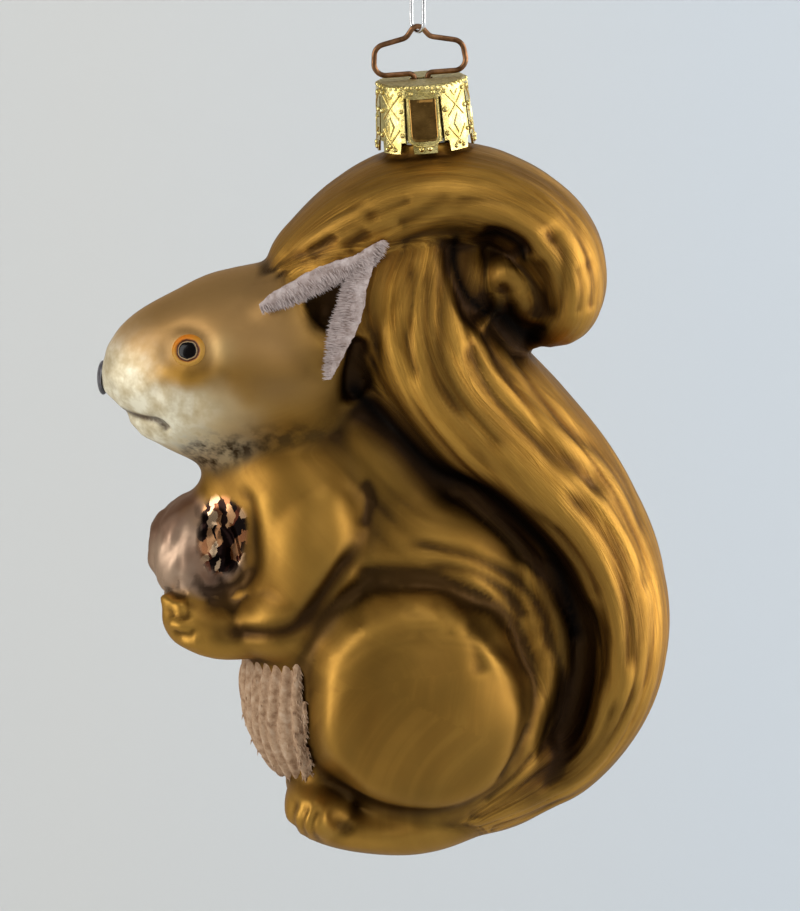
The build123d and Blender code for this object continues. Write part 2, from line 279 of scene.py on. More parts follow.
# %% Masses of the figure
TAIL = [
    (0.670, 0.079, 0.028, 0.143), (0.826, 0.139, 0.066, 0.226),
    (0.897, 0.234, 0.083, 0.281), (0.908, 0.354, 0.097, 0.310),
    (0.847, 0.470, 0.113, 0.324), (0.739, 0.572, 0.132, 0.333),
    (0.621, 0.673, 0.134, 0.324), (0.570, 0.783, 0.132, 0.298),
    (0.586, 0.875, 0.104, 0.226), (0.600, 0.924, 0.077, 0.167),
]
CROWN = [
    (0.308, 0.828, 0.016, 0.095), (0.367, 0.868, 0.045, 0.190),
    (0.459, 0.910, 0.068, 0.262), (0.557, 0.939, 0.075, 0.286),
    (0.666, 0.939, 0.075, 0.295), (0.758, 0.907, 0.071, 0.295),
    (0.816, 0.845, 0.073, 0.286), (0.821, 0.783, 0.064, 0.250),
    (0.797, 0.744, 0.042, 0.167), (0.783, 0.724, 0.014, 0.071),
]
HEAD = [
    (0.005, 0.673, 0.012, 0.024), (0.037, 0.679, 0.056, 0.100),
    (0.103, 0.686, 0.125, 0.176), (0.209, 0.685, 0.170, 0.248),
    (0.339, 0.706, 0.170, 0.276), (0.443, 0.720, 0.112, 0.205),
    (0.505, 0.722, 0.072, 0.131),
]
ROUNDS = {
    "nape": [(0.478, 0.804, 0.0, 0.165, 0.134, 0.262)],
    "curl": [(0.730, 0.804, 0.0, 0.104, 0.092, 0.190)],
    "torso": [
        (0.357, 0.523, 0.0, 0.148, 0.106, 0.274), (0.228, 0.508, 0.0, 0.052, 0.059, 0.143),
        (0.388, 0.445, 0.0, 0.139, 0.141, 0.321), (0.583, 0.396, 0.0, 0.188, 0.169, 0.321),
        (0.548, 0.586, 0.0, 0.148, 0.134, 0.238), (0.450, 0.241, 0.0, 0.191, 0.166, 0.333),
    ],
    "rump": [(0.670, 0.149, 0.0, 0.179, 0.121, 0.310), (0.783, 0.304, 0.0, 0.130, 0.190, 0.238)],
    "haunch": [(0.583, 0.217, 0.0, 0.226, 0.166, 0.500)],
    "foot": [(0.513, 0.051, 0.0, 0.184, 0.048, 0.310), (0.383, 0.082, 0.170, 0.061, 0.048, 0.190)],
    "arm": [
        (0.384, 0.442, 0.214, 0.087, 0.124, 0.131), (0.336, 0.346, 0.219, 0.090, 0.051, 0.119),
        (0.228, 0.328, 0.157, 0.094, 0.038, 0.102), (0.157, 0.347, 0.120, 0.047, 0.039, 0.115),
        (0.252, 0.375, 0.0, 0.115, 0.073, 0.155),
    ],
    "nut": [(0.188, 0.432, 0.0, 0.101, 0.083, 0.181)],
}
print("masses:", 3 + sum(len(group) for group in ROUNDS.values()))


# %% Distances to masses and to lines
def round_gap(points, form):
    """Rough distance in mm from each point to a rounded mass, on either side of the figure."""
    x, z, y, half_x, half_z, half_y = form
    centre = np.array((LEFT + x * WIDTH, y * DEPTH, BOTTOM + z * HEIGHT))
    half = np.array((half_x * WIDTH, half_y * DEPTH, half_z * HEIGHT))
    offset = np.column_stack((points[:, 0], np.abs(points[:, 1]), points[:, 2])) - centre
    reach = np.linalg.norm(offset / half, axis=1)
    slope = np.linalg.norm(offset / half**2, axis=1) + 1e-9
    return reach * (reach - 1) / slope


def smooth_line(rows, per_step=6):
    """Rows of a table, with smooth rows added between them."""
    rows = np.array(rows, float)
    padded = np.vstack((2 * rows[0] - rows[1], rows, 2 * rows[-1] - rows[-2]))
    out = []
    for i in range(1, len(padded) - 2):
        a, b, c, d = padded[i - 1 : i + 3]
        for t in np.arange(per_step) / per_step:
            out.append(0.5 * (2 * b + (c - a) * t + (2 * a - 5 * b + 4 * c - d) * t**2
                              + (3 * b - a - 3 * c + d) * t**3))
    return np.array(out + [rows[-1]])


def near_line(xz, line):
    """Distance from each point to a line, the way along it, its side and its row."""
    best = np.full(len(xz), 1e9)
    along, side, row = np.zeros(len(xz)), np.zeros(len(xz)), np.zeros(len(xz))
    run = 0.0
    for i, (start, end) in enumerate(zip(line[:-1], line[1:])):
        step = end - start
        length = max(np.hypot(*step), 1e-9)
        offset = xz - start
        t = np.clip(offset @ step / length**2, 0, 1)
        gap = offset - t[:, None] * step
        distance = np.hypot(gap[:, 0], gap[:, 1])
        closer = distance < best
        best[closer] = distance[closer]
        along[closer] = run + t[closer] * length
        side[closer] = np.sign(step[0] * offset[closer, 1] - step[1] * offset[closer, 0])
        row[closer] = i + t[closer]
        run += length
    return best, along, side, row


def drawn_gap(points, rows):
    """Distance to a drawn-out mass, the way along it and round it from 0 to 1."""
    line = smooth_line(rows)
    spine = line[:, :2] * (WIDTH, HEIGHT) + (LEFT, BOTTOM)
    distance, along, side, row = near_line(points[:, [0, 2]], spine)
    steps = np.arange(len(line))
    half = np.interp(row, steps, line[:, 2]) * WIDTH
    deep = np.interp(row, steps, line[:, 3]) * DEPTH
    across = distance * side
    reach = np.hypot(across / half, points[:, 1] / deep)
    slope = np.hypot(across / half**2, points[:, 1] / deep**2) + 1e-9
    turn = np.arctan2(np.abs(points[:, 1]) / deep, across / half) / math.pi
    return reach * (reach - 1) / slope, along, turn, across


# %% [markdown]
# ## The skin of the glass
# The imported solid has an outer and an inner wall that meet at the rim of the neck.
# The rim is taken off, the outer wall is kept and closed, and a voxel remesh turns
# it into one even net of small squares, fine enough to carve hair into. A few rounds
# of averaging then melt the sharp joins between the masses, as blown glass does.

# %% Even net over the outer wall
NET = 0.475
RIM_DROP = 7.2
NECK_RADIUS, BORE_RADIUS, BORE_DEEP = 5.0, 4.15, 4.6
MERGE = 0.004


def outer_wall(node):
    """Closed copy of the node's outer wall, in millimetres, with a bore in its neck."""
    work = bmesh.new()
    work.from_mesh(node.data)
    bmesh.ops.scale(work, vec=(1 / MM,) * 3, verts=work.verts)
    bmesh.ops.remove_doubles(work, verts=work.verts, dist=MERGE)
    rim = [f for f in work.faces
           if (f.calc_center_median() - CAP_TOP).dot(AXIS_UP) > -RIM_DROP - 0.05]
    bmesh.ops.delete(work, geom=rim, context="FACES")
    walls, seen = [], set()
    for start in work.verts:
        if start in seen:
            continue
        seen.add(start)
        wall, heap = [], [start]
        while heap:
            vert = heap.pop()
            wall.append(vert)
            for edge in vert.link_edges:
                other = edge.other_vert(vert)
                if other not in seen:
                    seen.add(other)
                    heap.append(other)
        walls.append(wall)
    print("walls:", sorted((len(wall) for wall in walls), reverse=True)[:4])
    walls.sort(key=lambda wall: max(v.co.x for v in wall) - min(v.co.x for v in wall))
    bmesh.ops.delete(work, geom=[v for wall in walls[:-1] for v in wall], context="VERTS")
    ring = [e for e in work.edges if e.is_boundary]
    foot = CAP_TOP - AXIS_UP * RIM_DROP
    for narrow, sink in ((BORE_RADIUS / NECK_RADIUS, 0.0), (1.0, BORE_DEEP)):
        made = bmesh.ops.extrude_edge_only(work, edges=ring)["geom"]
        for vert in (v for v in made if isinstance(v, bmesh.types.BMVert)):
            vert.co = foot + (vert.co - foot) * narrow - AXIS_UP * sink
        ring = [e for e in made if isinstance(e, bmesh.types.BMEdge) and e.is_boundary]
    bmesh.ops.contextual_create(work, geom=ring)
    bmesh.ops.recalc_face_normals(work, faces=work.faces)
    mesh = bpy.data.meshes.new("glass_skin")
    work.to_mesh(mesh)
    work.free()
    return mesh


def plain_mesh(piece):
    """Mesh of a piece with its modifiers applied."""
    bpy.context.view_layer.update()
    graph = bpy.context.evaluated_depsgraph_get()
    return bpy.data.meshes.new_from_object(piece.evaluated_get(graph))


def link_piece(name, mesh):
    """New object for a mesh, in the scene."""
    piece = bpy.data.objects.new(name, mesh)
    scene.collection.objects.link(piece)
    return piece


def remeshed(mesh, voxel):
    """Even net over a closed mesh that is in millimetres."""
    holder = link_piece("holder", mesh)
    change = holder.modifiers.new("net", "REMESH")
    change.mode = "VOXEL"
    change.voxel_size = voxel
    result = plain_mesh(holder)
    bpy.data.objects.remove(holder)
    return result


skin = remeshed(outer_wall(nodes["glass_body"]), NET)
print("net:", len(skin.vertices), "points,", len(skin.polygons), "squares")


# %% Points, links and averaging
def read_points(mesh):
    """Places of a mesh's points, as an array."""
    flat = np.empty(len(mesh.vertices) * 3)
    mesh.vertices.foreach_get("co", flat)
    return flat.reshape(-1, 3)


def write_points(mesh, points):
    """Puts an array of places back on a mesh."""
    mesh.vertices.foreach_set("co", points.astype(np.float32).ravel())
    mesh.update()


def read_normals(mesh):
    """Outward directions at a mesh's points."""
    flat = np.empty(len(mesh.vertices) * 3, np.float32)
    mesh.vertex_normals.foreach_get("vector", flat)
    return flat.reshape(-1, 3).astype(float)


def read_links(mesh):
    """Pairs of points that an edge joins."""
    flat = np.empty(len(mesh.edges) * 2, np.int64)
    mesh.edges.foreach_get("vertices", flat)
    return flat.reshape(-1, 2)


def averaged(values, links, rounds, strength=0.6):
    """Values moved towards the mean of their neighbours, several times."""
    count = len(values)
    first, second = links[:, 0], links[:, 1]
    weight = np.bincount(first, minlength=count) + np.bincount(second, minlength=count)
    weight = np.maximum(weight, 1)
    table = values.reshape(count, -1).copy()
    for _ in range(rounds):
        for column in range(table.shape[1]):
            one = table[:, column]
            total = np.bincount(first, one[second], count) + np.bincount(second, one[first], count)
            table[:, column] = one + strength * (total / weight - one)
    return table.reshape(values.shape)


links = read_links(skin)
points = read_points(skin)
neck_drop = (np.array(CAP_TOP) - points) @ np.array(AXIS_UP)
neck_far = np.linalg.norm(points - np.array(CAP_TOP) + neck_drop[:, None] * np.array(AXIS_UP), axis=1)
free = np.clip(np.maximum((neck_drop - 8.8) / 1.6, (neck_far - 5.5) / 1.5), 0, 1)
points = points + free[:, None] * (averaged(points, links, 9) - points)
write_points(skin, points)
normals = read_normals(skin)


# %% [markdown]
# ## Carving
# Hair in such a mould is carved as long grooves that follow each mass. A noise that
# is stretched along the mass and cut at its zero lines gives rounded strands with
# thin valleys between them. Creases, the mouth, the toes and the fingers are
# separate strokes, each a curve in shares of the figure.

# %% Noise that repeats exactly
def lattice(column, row, seed):
    """Repeatable number from -1 to 1 for each cell."""
    value = (column * 73856093) ^ (row * 19349663) ^ (seed * 83492791)
    value = (value ^ (value >> 13)) * 1274126177
    return ((value ^ (value >> 16)) & 0xFFFF) / 32767.5 - 1


def noise(u, v, seed):
    """Smooth noise from -1 to 1 over two directions."""
    column, row = np.floor(u).astype(np.int64), np.floor(v).astype(np.int64)
    s, t = u - column, v - row
    s, t = s * s * (3 - 2 * s), t * t * (3 - 2 * t)
    low = lattice(column, row, seed) * (1 - s) + lattice(column + 1, row, seed) * s
    high = lattice(column, row + 1, seed) * (1 - s) + lattice(column + 1, row + 1, seed) * s
    return low * (1 - t) + high * t


def strands(along, across, seed, length=15.0):
    """Height of rounded strands: across counts strands, along is in mm."""
    bend = across + 0.7 * noise(along / (0.8 * length), across * 0.35, seed + 1)
    broad = np.abs(noise(along / length, bend, seed + 2)) ** 0.8
    fine = np.abs(noise(along / (0.55 * length), bend * 2.4, seed + 3)) ** 0.8
    return broad * 0.72 + fine * 0.28 - 0.4


def fade(value, low, high):
    """Smooth step from 0 at low to 1 at high."""
    t = np.clip((value - low) / (high - low), 0, 1)
    return t * t * (3 - 2 * t)


def stroke(points, shares, width, depth, taper=0.25):
    """Groove of a given half width and depth along a curve; a negative depth raises it."""
    line = smooth_line(places(shares), 5)
    distance, along, _, row = near_line(points[:, [0, 2]], line)
    t = row / (len(line) - 1)
    ends = fade(t, 0, taper) * fade(1 - t, 0, taper) if taper else 1.0
    return -depth * np.exp(-((distance / width) ** 2)) * ends


def bump(points, share, y, size, rise):
    """Round bump on both sides of the figure."""
    x, z = places([share])[0]
    offset = points - (x, 0, z)
    offset[:, 1] = np.abs(points[:, 1]) - y
    return rise * np.exp(-((np.linalg.norm(offset, axis=1) / size) ** 2))


# %% Which mass each point lies on
gaps = {name: np.min([round_gap(points, form) for form in group], axis=0)
        for name, group in ROUNDS.items()}
flows = {}
for name, rows in (("tail", TAIL), ("crown", CROWN), ("head", HEAD)):
    gap, along, turn, across = drawn_gap(points, rows)
    gaps[name] = gap
    flows[name] = (along, turn, across)
BLEND = 0.55
nearest = np.min(list(gaps.values()), axis=0)
belongs = {name: np.exp(-np.clip(gap - nearest, 0, 12) / BLEND) for name, gap in gaps.items()}
total = np.sum(list(belongs.values()), axis=0)
belongs = {name: weight / total for name, weight in belongs.items()}
x_share = (points[:, 0] - LEFT) / WIDTH
z_share = (points[:, 2] - BOTTOM) / HEIGHT
away = np.abs(points[:, 1])
facing = np.abs(normals[:, 1])
print("masses found:", {name: int((w > 0.5).sum()) for name, w in belongs.items()})

# %% Melt the joins of the body
MELT_LINES = [
    ([(0.180, 0.560), (0.260, 0.572), (0.350, 0.595), (0.420, 0.645)], 4.5, 0.0),
    ([(0.470, 0.868), (0.530, 0.880), (0.600, 0.893), (0.640, 0.895)], 4.5, 0.0),
    ([(0.290, 0.815), (0.340, 0.842), (0.400, 0.868), (0.460, 0.888)], 1.8, 3.0),
    ([(0.283, 0.796), (0.350, 0.752), (0.414, 0.708)], 2.6, 6.0),
    ([(0.200, 0.548), (0.245, 0.543), (0.275, 0.500), (0.280, 0.440), (0.250, 0.395), (0.180, 0.392)], 2.0, 0.0),
]
line_melt = np.zeros(len(points))
for shares, wide, inner in MELT_LINES:
    line_far, _, _, _ = near_line(points[:, [0, 2]], smooth_line(places(shares), 5))
    part = np.exp(-((line_far / wide) ** 2)) * (fade(away, inner, inner + 2) if inner else 1.0)
    line_melt = np.maximum(line_melt, part)
melt = belongs["torso"] + 0.75 * belongs["haunch"] + 0.5 * belongs["arm"] + belongs["rump"]
melt = np.clip(averaged(melt + 0.6 * belongs["foot"], links, 6) + line_melt, 0, 1) * free
melted = averaged(points, links, 90)
points = points + melt[:, None] * (melted - points)
write_points(skin, points)
normals = read_normals(skin)

# %% Round disc of the haunch
DISC, DISC_WIDE, DISC_TALL = (0.555, 0.255), 0.200, 0.162
away = np.abs(points[:, 1])
disc_reach = np.hypot((x_share - DISC[0]) / DISC_WIDE, (z_share - DISC[1]) / DISC_TALL)
disc_far = 20.4 - 5.2 * disc_reach**2.2
lift = np.clip(disc_far - away, -3.0, 8.0) * (1 - fade(disc_reach, 0.80, 1.06))
lift *= fade(away, 6, 10) * fade(x_share, 0.355, 0.40)
points[:, 1] += np.sign(points[:, 1]) * lift
disc_part = (1 - fade(disc_reach, 1.05, 1.25)) * fade(away, 6, 10)
points = points + disc_part[:, None] * (averaged(points, links, 10) - points)
write_points(skin, points)
normals = read_normals(skin)
away = np.abs(points[:, 1])
facing = np.abs(normals[:, 1])
print("haunch raised by up to", round(lift.max(), 2), "mm")

# %% Hair of the tail, the crown, the back, the haunch and the head
relief = np.zeros(len(points))
tail_along, tail_turn, tail_across = flows["tail"]
tail_like = belongs["tail"] + belongs["nape"] + belongs["rump"]
relief += tail_like * 0.60 * strands(tail_along, tail_turn * 13.0, 11, 22.0)
crown_along, crown_turn, crown_across = flows["crown"]
crown_like = belongs["crown"] + belongs["curl"]
relief += crown_like * 0.42 * strands(crown_along, crown_turn * 9.0, 23, 17.0)

CREASE = [
    (0.452, 0.665), (0.475, 0.645), (0.525, 0.605), (0.597, 0.552), (0.680, 0.522),
    (0.746, 0.478), (0.797, 0.432), (0.823, 0.385), (0.849, 0.340), (0.835, 0.240),
    (0.809, 0.155), (0.739, 0.095),
]
back_gap, back_along, back_side, _ = near_line(points[:, [0, 2]], smooth_line(places(CREASE)))
back_hair = strands(back_along, back_gap / 2.3, 37, 13.0)
relief += belongs["torso"] * 0.25 * back_hair * fade(x_share, 0.36, 0.52) * fade(z_share, 0.30, 0.40)

haunch_x, haunch_z = places([(0.583, 0.222)])[0]
round_x = (points[:, 0] - haunch_x) / (0.226 * WIDTH)
round_z = (points[:, 2] - haunch_z) / (0.166 * HEIGHT)
haunch_reach = np.hypot(round_x, round_z)
haunch_turn = np.arctan2(round_z, round_x)
rim_hair = strands(haunch_turn * 15.0, haunch_reach * 11.0, 53, 12.0)
rim_part = fade(haunch_reach, 0.62, 0.85) * fade(np.cos(haunch_turn - 0.55), -0.35, 0.5)
relief += belongs["haunch"] * 0.25 * rim_hair * rim_part
relief += belongs["haunch"] * 0.38 * noise(points[:, 0] / 5.5, points[:, 2] / 8.0, 61) * (1 - rim_part)
relief += belongs["torso"] * 0.20 * rim_hair * fade(1.5 - haunch_reach, 0.0, 0.3) * fade(haunch_turn, -0.5, 0.6)

head_along, head_turn, head_across = flows["head"]
brow = fade(z_share, 0.70, 0.76) * belongs["head"]
relief += brow * 0.06 * strands(head_along, head_turn * 26.0, 71, 5.0)
cheek_soft = noise(points[:, 0] / 4.0, points[:, 2] / 3.2, 83)
relief += belongs["head"] * (1 - brow) * 0.16 * cheek_soft
face_lumps = noise(points[:, 0] / 1.5, points[:, 2] / 1.3, 89)
relief += belongs["head"] * (1 - brow) * (1 - fade(x_share, 0.15, 0.30)) * 0.09 * face_lumps
arm_soft = noise(points[:, 0] / 6.0, points[:, 2] / 9.0, 91)
relief += (belongs["arm"] + 0.6 * belongs["torso"]) * 0.22 * arm_soft

nut_folds = strands(points[:, 2] * 1.4, points[:, 0] / 1.7 + away / 3.0, 97, 9.0)
nut_pits = noise(points[:, 0] / 1.1, points[:, 2] / 1.5, 101)
relief += belongs["nut"] * (0.75 * nut_folds + 0.16 * nut_pits)
foot_soft = noise(points[:, 0] / 7.0, points[:, 2] / 2.2, 103)
relief += belongs["foot"] * 0.15 * foot_soft

# %% Creases and drawn strokes
TAIL_STROKES = [
    ([(0.602, 0.866), (0.602, 0.812), (0.602, 0.736), (0.628, 0.684), (0.680, 0.632), (0.722, 0.598)], 0.9, 0.50),
    ([(0.645, 0.755), (0.659, 0.719), (0.703, 0.666), (0.788, 0.604), (0.854, 0.565), (0.899, 0.524)], 1.0, 0.65),
    ([(0.628, 0.814), (0.650, 0.786), (0.685, 0.750), (0.703, 0.719), (0.746, 0.680), (0.810, 0.632),
      (0.878, 0.586), (0.934, 0.531)], 0.6, 0.40),
    ([(0.555, 0.863), (0.550, 0.810), (0.544, 0.747), (0.565, 0.690)], 0.7, 0.45),
    ([(0.579, 0.866), (0.577, 0.812), (0.579, 0.749), (0.600, 0.693), (0.652, 0.643)], 0.7, 0.45),
    ([(0.807, 0.555), (0.873, 0.501), (0.917, 0.434), (0.934, 0.343), (0.929, 0.276)], 1.0, 0.60),
    ([(0.729, 0.536), (0.807, 0.483), (0.861, 0.429), (0.883, 0.366), (0.883, 0.298), (0.873, 0.241)], 0.9, 0.55),
    ([(0.850, 0.575), (0.906, 0.516), (0.950, 0.454), (0.967, 0.386)], 0.7, 0.45),
    ([(0.790, 0.501), (0.840, 0.446), (0.873, 0.384)], 0.8, 0.40),
    ([(0.917, 0.258), (0.883, 0.186), (0.828, 0.137), (0.772, 0.109)], 0.8, 0.45),
    ([(0.950, 0.273), (0.911, 0.201), (0.861, 0.143), (0.807, 0.102)], 0.6, 0.35),
    ([(0.807, 0.673), (0.856, 0.628), (0.906, 0.574), (0.939, 0.521), (0.967, 0.457)], 0.6, 0.40),
]
CROWN_STROKES = [
    ([(0.628, 0.892), (0.624, 0.861), (0.638, 0.822), (0.666, 0.791), (0.690, 0.777)], 1.4, 1.5),
    ([(0.699, 0.785), (0.725, 0.764), (0.750, 0.748), (0.772, 0.736)], 1.8, 1.7),
    ([(0.670, 0.895), (0.704, 0.898), (0.736, 0.885), (0.746, 0.864)], 1.1, 1.0),
    ([(0.704, 0.826), (0.718, 0.805), (0.710, 0.780)], 0.8, 0.8),
    ([(0.770, 0.876), (0.783, 0.833), (0.774, 0.791), (0.753, 0.770)], 0.9, 0.45),
    ([(0.783, 0.913), (0.809, 0.885), (0.814, 0.843), (0.802, 0.800), (0.774, 0.765)], 1.2, 0.75),
    ([(0.840, 0.861), (0.849, 0.822), (0.838, 0.782)], 0.6, 0.35),
    ([(0.861, 0.866), (0.871, 0.824), (0.861, 0.786)], 0.6, 0.35),
    ([(0.370, 0.862), (0.395, 0.880), (0.419, 0.898)], 0.9, 0.30),
    ([(0.435, 0.873), (0.457, 0.890), (0.478, 0.907)], 0.9, 0.30),
    ([(0.464, 0.923), (0.511, 0.939), (0.555, 0.954)], 1.0, 0.32),
    ([(0.523, 0.912), (0.563, 0.931), (0.624, 0.960)], 1.0, 0.32),
    ([(0.322, 0.854), (0.357, 0.885), (0.409, 0.920), (0.478, 0.948)], 0.7, 0.25),
    ([(0.339, 0.853), (0.391, 0.880), (0.443, 0.913), (0.504, 0.935)], 0.7, 0.25),
    ([(0.600, 0.942), (0.670, 0.955), (0.739, 0.949), (0.784, 0.920), (0.802, 0.886)], 1.0, 0.40),
    ([(0.704, 0.993), (0.791, 0.958), (0.843, 0.901), (0.873, 0.838)], 0.5, 0.30),
]
BODY_STROKES = [
    ([(0.357, 0.297), (0.369, 0.341), (0.419, 0.386), (0.478, 0.410), (0.576, 0.413), (0.638, 0.393),
      (0.689, 0.348), (0.739, 0.297), (0.753, 0.250), (0.744, 0.205), (0.723, 0.154), (0.682, 0.116),
      (0.597, 0.090), (0.513, 0.095), (0.437, 0.116), (0.386, 0.147), (0.360, 0.195)], 0.9, 0.45),
    ([(0.647, 0.377), (0.664, 0.336), (0.670, 0.297)], 1.0, 0.20),
    ([(0.723, 0.346), (0.762, 0.295), (0.770, 0.247), (0.757, 0.198), (0.730, 0.141)], 0.6, 0.40),
    ([(0.774, 0.351), (0.807, 0.300), (0.816, 0.249), (0.798, 0.197), (0.774, 0.151)], 0.8, 0.50),
    ([(0.701, 0.134), (0.739, 0.177), (0.765, 0.219)], 0.5, 0.30),
    ([(0.673, 0.097), (0.725, 0.132), (0.774, 0.174)], 0.5, 0.30),
    ([(0.440, 0.420), (0.513, 0.432), (0.576, 0.430), (0.617, 0.420), (0.664, 0.396), (0.697, 0.375)], 0.9, 0.5),
    ([(0.478, 0.411), (0.597, 0.417), (0.682, 0.383), (0.739, 0.327), (0.765, 0.270)], 0.7, 0.40),
    ([(0.565, 0.443), (0.652, 0.430), (0.713, 0.398), (0.760, 0.350)], 0.7, 0.40),
    ([(0.530, 0.470), (0.617, 0.460), (0.704, 0.428), (0.774, 0.371), (0.802, 0.308)], 0.7, 0.40),
    ([(0.464, 0.475), (0.421, 0.426), (0.377, 0.378), (0.339, 0.351), (0.270, 0.341), (0.217, 0.338)], 1.0, 0.8),
    ([(0.464, 0.552), (0.480, 0.536), (0.477, 0.512), (0.464, 0.485)], 0.8, 0.20),
    ([(0.290, 0.550), (0.301, 0.493), (0.297, 0.437), (0.270, 0.395), (0.226, 0.378)], 1.8, -0.6),
    ([(0.245, 0.543), (0.270, 0.519), (0.280, 0.469), (0.282, 0.427), (0.252, 0.399), (0.209, 0.389),
      (0.174, 0.399)], 0.9, 0.40),
    ([(0.118, 0.388), (0.138, 0.382), (0.160, 0.384)], 0.5, 0.50),
    ([(0.120, 0.374), (0.138, 0.369), (0.160, 0.371)], 0.7, -0.55),
    ([(0.122, 0.362), (0.146, 0.356), (0.166, 0.360)], 0.5, 0.50),
    ([(0.128, 0.350), (0.148, 0.345), (0.168, 0.348)], 0.7, -0.55),
    ([(0.134, 0.338), (0.154, 0.333), (0.174, 0.338)], 0.5, 0.45),
    ([(0.148, 0.327), (0.166, 0.322), (0.184, 0.326)], 0.7, -0.45),
    ([(0.464, 0.758), (0.452, 0.715), (0.446, 0.680), (0.450, 0.655)], 0.9, 1.1),
]
SIDE_STROKES = [(CREASE, 2.0, 1.7)] + TAIL_STROKES + CROWN_STROKES + BODY_STROKES
TOE_STROKES = [
    ([(0.352, 0.108), (0.338, 0.080), (0.350, 0.040)], 0.50, 0.60, 0.2),
    ([(0.372, 0.108), (0.356, 0.076), (0.370, 0.034)], 0.50, 0.62, 0.2),
    ([(0.392, 0.104), (0.377, 0.070), (0.392, 0.030)], 0.50, 0.55, 0.2),
    ([(0.410, 0.110), (0.420, 0.075), (0.455, 0.050)], 0.9, 0.40, 0.3),
]
FACE_STROKES = [
    ([(0.040, 0.636), (0.078, 0.629), (0.108, 0.627), (0.128, 0.614)], 0.42, 0.75, 0.08),
    ([(0.075, 0.612), (0.100, 0.604), (0.120, 0.600)], 0.8, -0.25, 0.3),
    ([(0.020, 0.655), (0.028, 0.665), (0.024, 0.676)], 0.40, 0.35, 0.3),
]
side_part = fade(facing, 0.05, 0.35)
carved = np.zeros(len(points))
for shares, width, depth in SIDE_STROKES:
    carved += stroke(points, shares, width, depth, 0.15) * side_part
relief += carved
for shares, width, depth, taper in TOE_STROKES:
    relief += stroke(points, shares, width, depth, taper) * fade(x_share, 0.32, 0.335)
for shares, width, depth, taper in FACE_STROKES:
    relief += stroke(points, shares, width, depth, taper) * fade(facing, 0.02, 0.2)
eye_x, eye_z = places([(0.163, 0.732)])[0]
eye_far = np.hypot(points[:, 0] - eye_x, (points[:, 2] - eye_z) * 1.1)
relief -= 0.13 * np.exp(-(((eye_far - 2.9) / 0.8) ** 2)) * belongs["head"] * fade(facing, 0.2, 0.5)

BUMPS = [
    ((0.127, 0.372), 5.5, 1.0, 0.75), ((0.137, 0.350), 6.0, 1.0, 0.75),
    ((0.152, 0.329), 6.2, 1.1, 0.65), ((0.722, 0.838), 7.5, 2.4, 1.5), ((0.492, 0.297), 19.0, 7.5, -0.8),
    ((0.060, 0.655), 3.6, 2.4, 0.35), ((0.110, 0.655), 5.0, 2.6, 0.25),
    ((0.060, 0.617), 1.5, 2.4, 1.5), ((0.226, 0.735), 9.0, 1.8, 0.25),
    ((0.400, 0.812), 10.8, 2.4, -1.6), ((0.405, 0.783), 10.8, 2.3, -1.5),
    ((0.432, 0.835), 11.0, 1.5, -0.8),
]
for share, y, size, rise in BUMPS:
    relief += bump(points, share, y, size, rise)

# %% Put the carving on the net
relief = averaged(relief, links, 1) * free
points = points + normals * relief[:, None]
points = points + free[:, None] * (averaged(points, links, 1, 0.4) - points)
write_points(skin, points)
normals = read_normals(skin)
print("relief from", round(relief.min(), 2), "to", round(relief.max(), 2), "mm")

# %% [markdown]
# ## Masks for the lacquer
# The painter sprays the figure gold. The brown in the hollows is painted shade, partly the
# thin brown that the painter sprays there, and the lighter ridges are painted highlight,
# partly where the brown is wiped off. Where a point lies under the mean of its neighbours
# it is in a hollow. A short mean finds hair grooves and a long mean finds the deep folds.

# %% Hollows, ridges, painted places and painted shade
short_mean = averaged(points, links, 8)
long_mean = averaged(short_mean, links, 120, 0.9)
groove = np.einsum("ij,ij->i", short_mean - points, normals)
hollow = np.einsum("ij,ij->i", long_mean - points, normals)
groove_mask = np.clip(groove / 0.07, -1, 1)
near_disc = (1 - fade(disc_reach, 1.25, 1.45)) * fade(away, 5, 9)
hollow_mask = np.clip(hollow / 1.1, -1, 1) * (1 - 0.72 * near_disc)
muzzle = 1 - fade(x_share + (z_share - 0.65) * 0.9 + 0.04 * cheek_soft, 0.10, 0.23)
muzzle = muzzle * belongs["head"] * fade(z_share, 0.55, 0.60)
lower_face = belongs["head"] * (1 - fade(z_share + 0.02 * cheek_soft, 0.655, 0.705))
lower_face = lower_face * fade(0.34 - x_share, 0.0, 0.12)
cheek = np.exp(-(((x_share - 0.32) / 0.085) ** 2 + ((z_share - 0.690) / 0.035) ** 2)) * belongs["head"]
# Lower edge of the head, where the painted shade under the jaw goes.
jaw = belongs["head"] * (1 - fade(z_share - 0.06 * (x_share - 0.25), 0.585, 0.64)) * fade(x_share, 0.10, 0.2)
nut_mask = np.clip(belongs["nut"] * 1.3 - 0.1, 0, 1) * fade(facing + (0.30 - x_share) * 2, 0.1, 0.4)
belly = belongs["torso"] * (1 - fade(x_share, 0.36, 0.41)) * (1 - fade(z_share, 0.30, 0.34))
# Painted shade in the eye socket, above and to the left of the eye.
eye_ring = np.exp(-(((eye_far - 2.5) / 0.75) ** 2)) * belongs["head"]
eye_ring *= fade((points[:, 2] - eye_z) - 0.4 * (points[:, 0] - eye_x), -1.5, 1.5)
brow_paint = belongs["head"] * fade(z_share, 0.70, 0.75) * (1 - fade(x_share, 0.30, 0.44))
pale_spot = bump(points, (0.226, 0.735), 9.0, 1.7, 1.0) * belongs["head"]
ear_shade = sum(bump(points, share, y, size * 0.9, 1.0) for share, y, size, rise in BUMPS[-3:])
ear_shade = np.clip(ear_shade * 1.7 - 0.25, 0, 1)
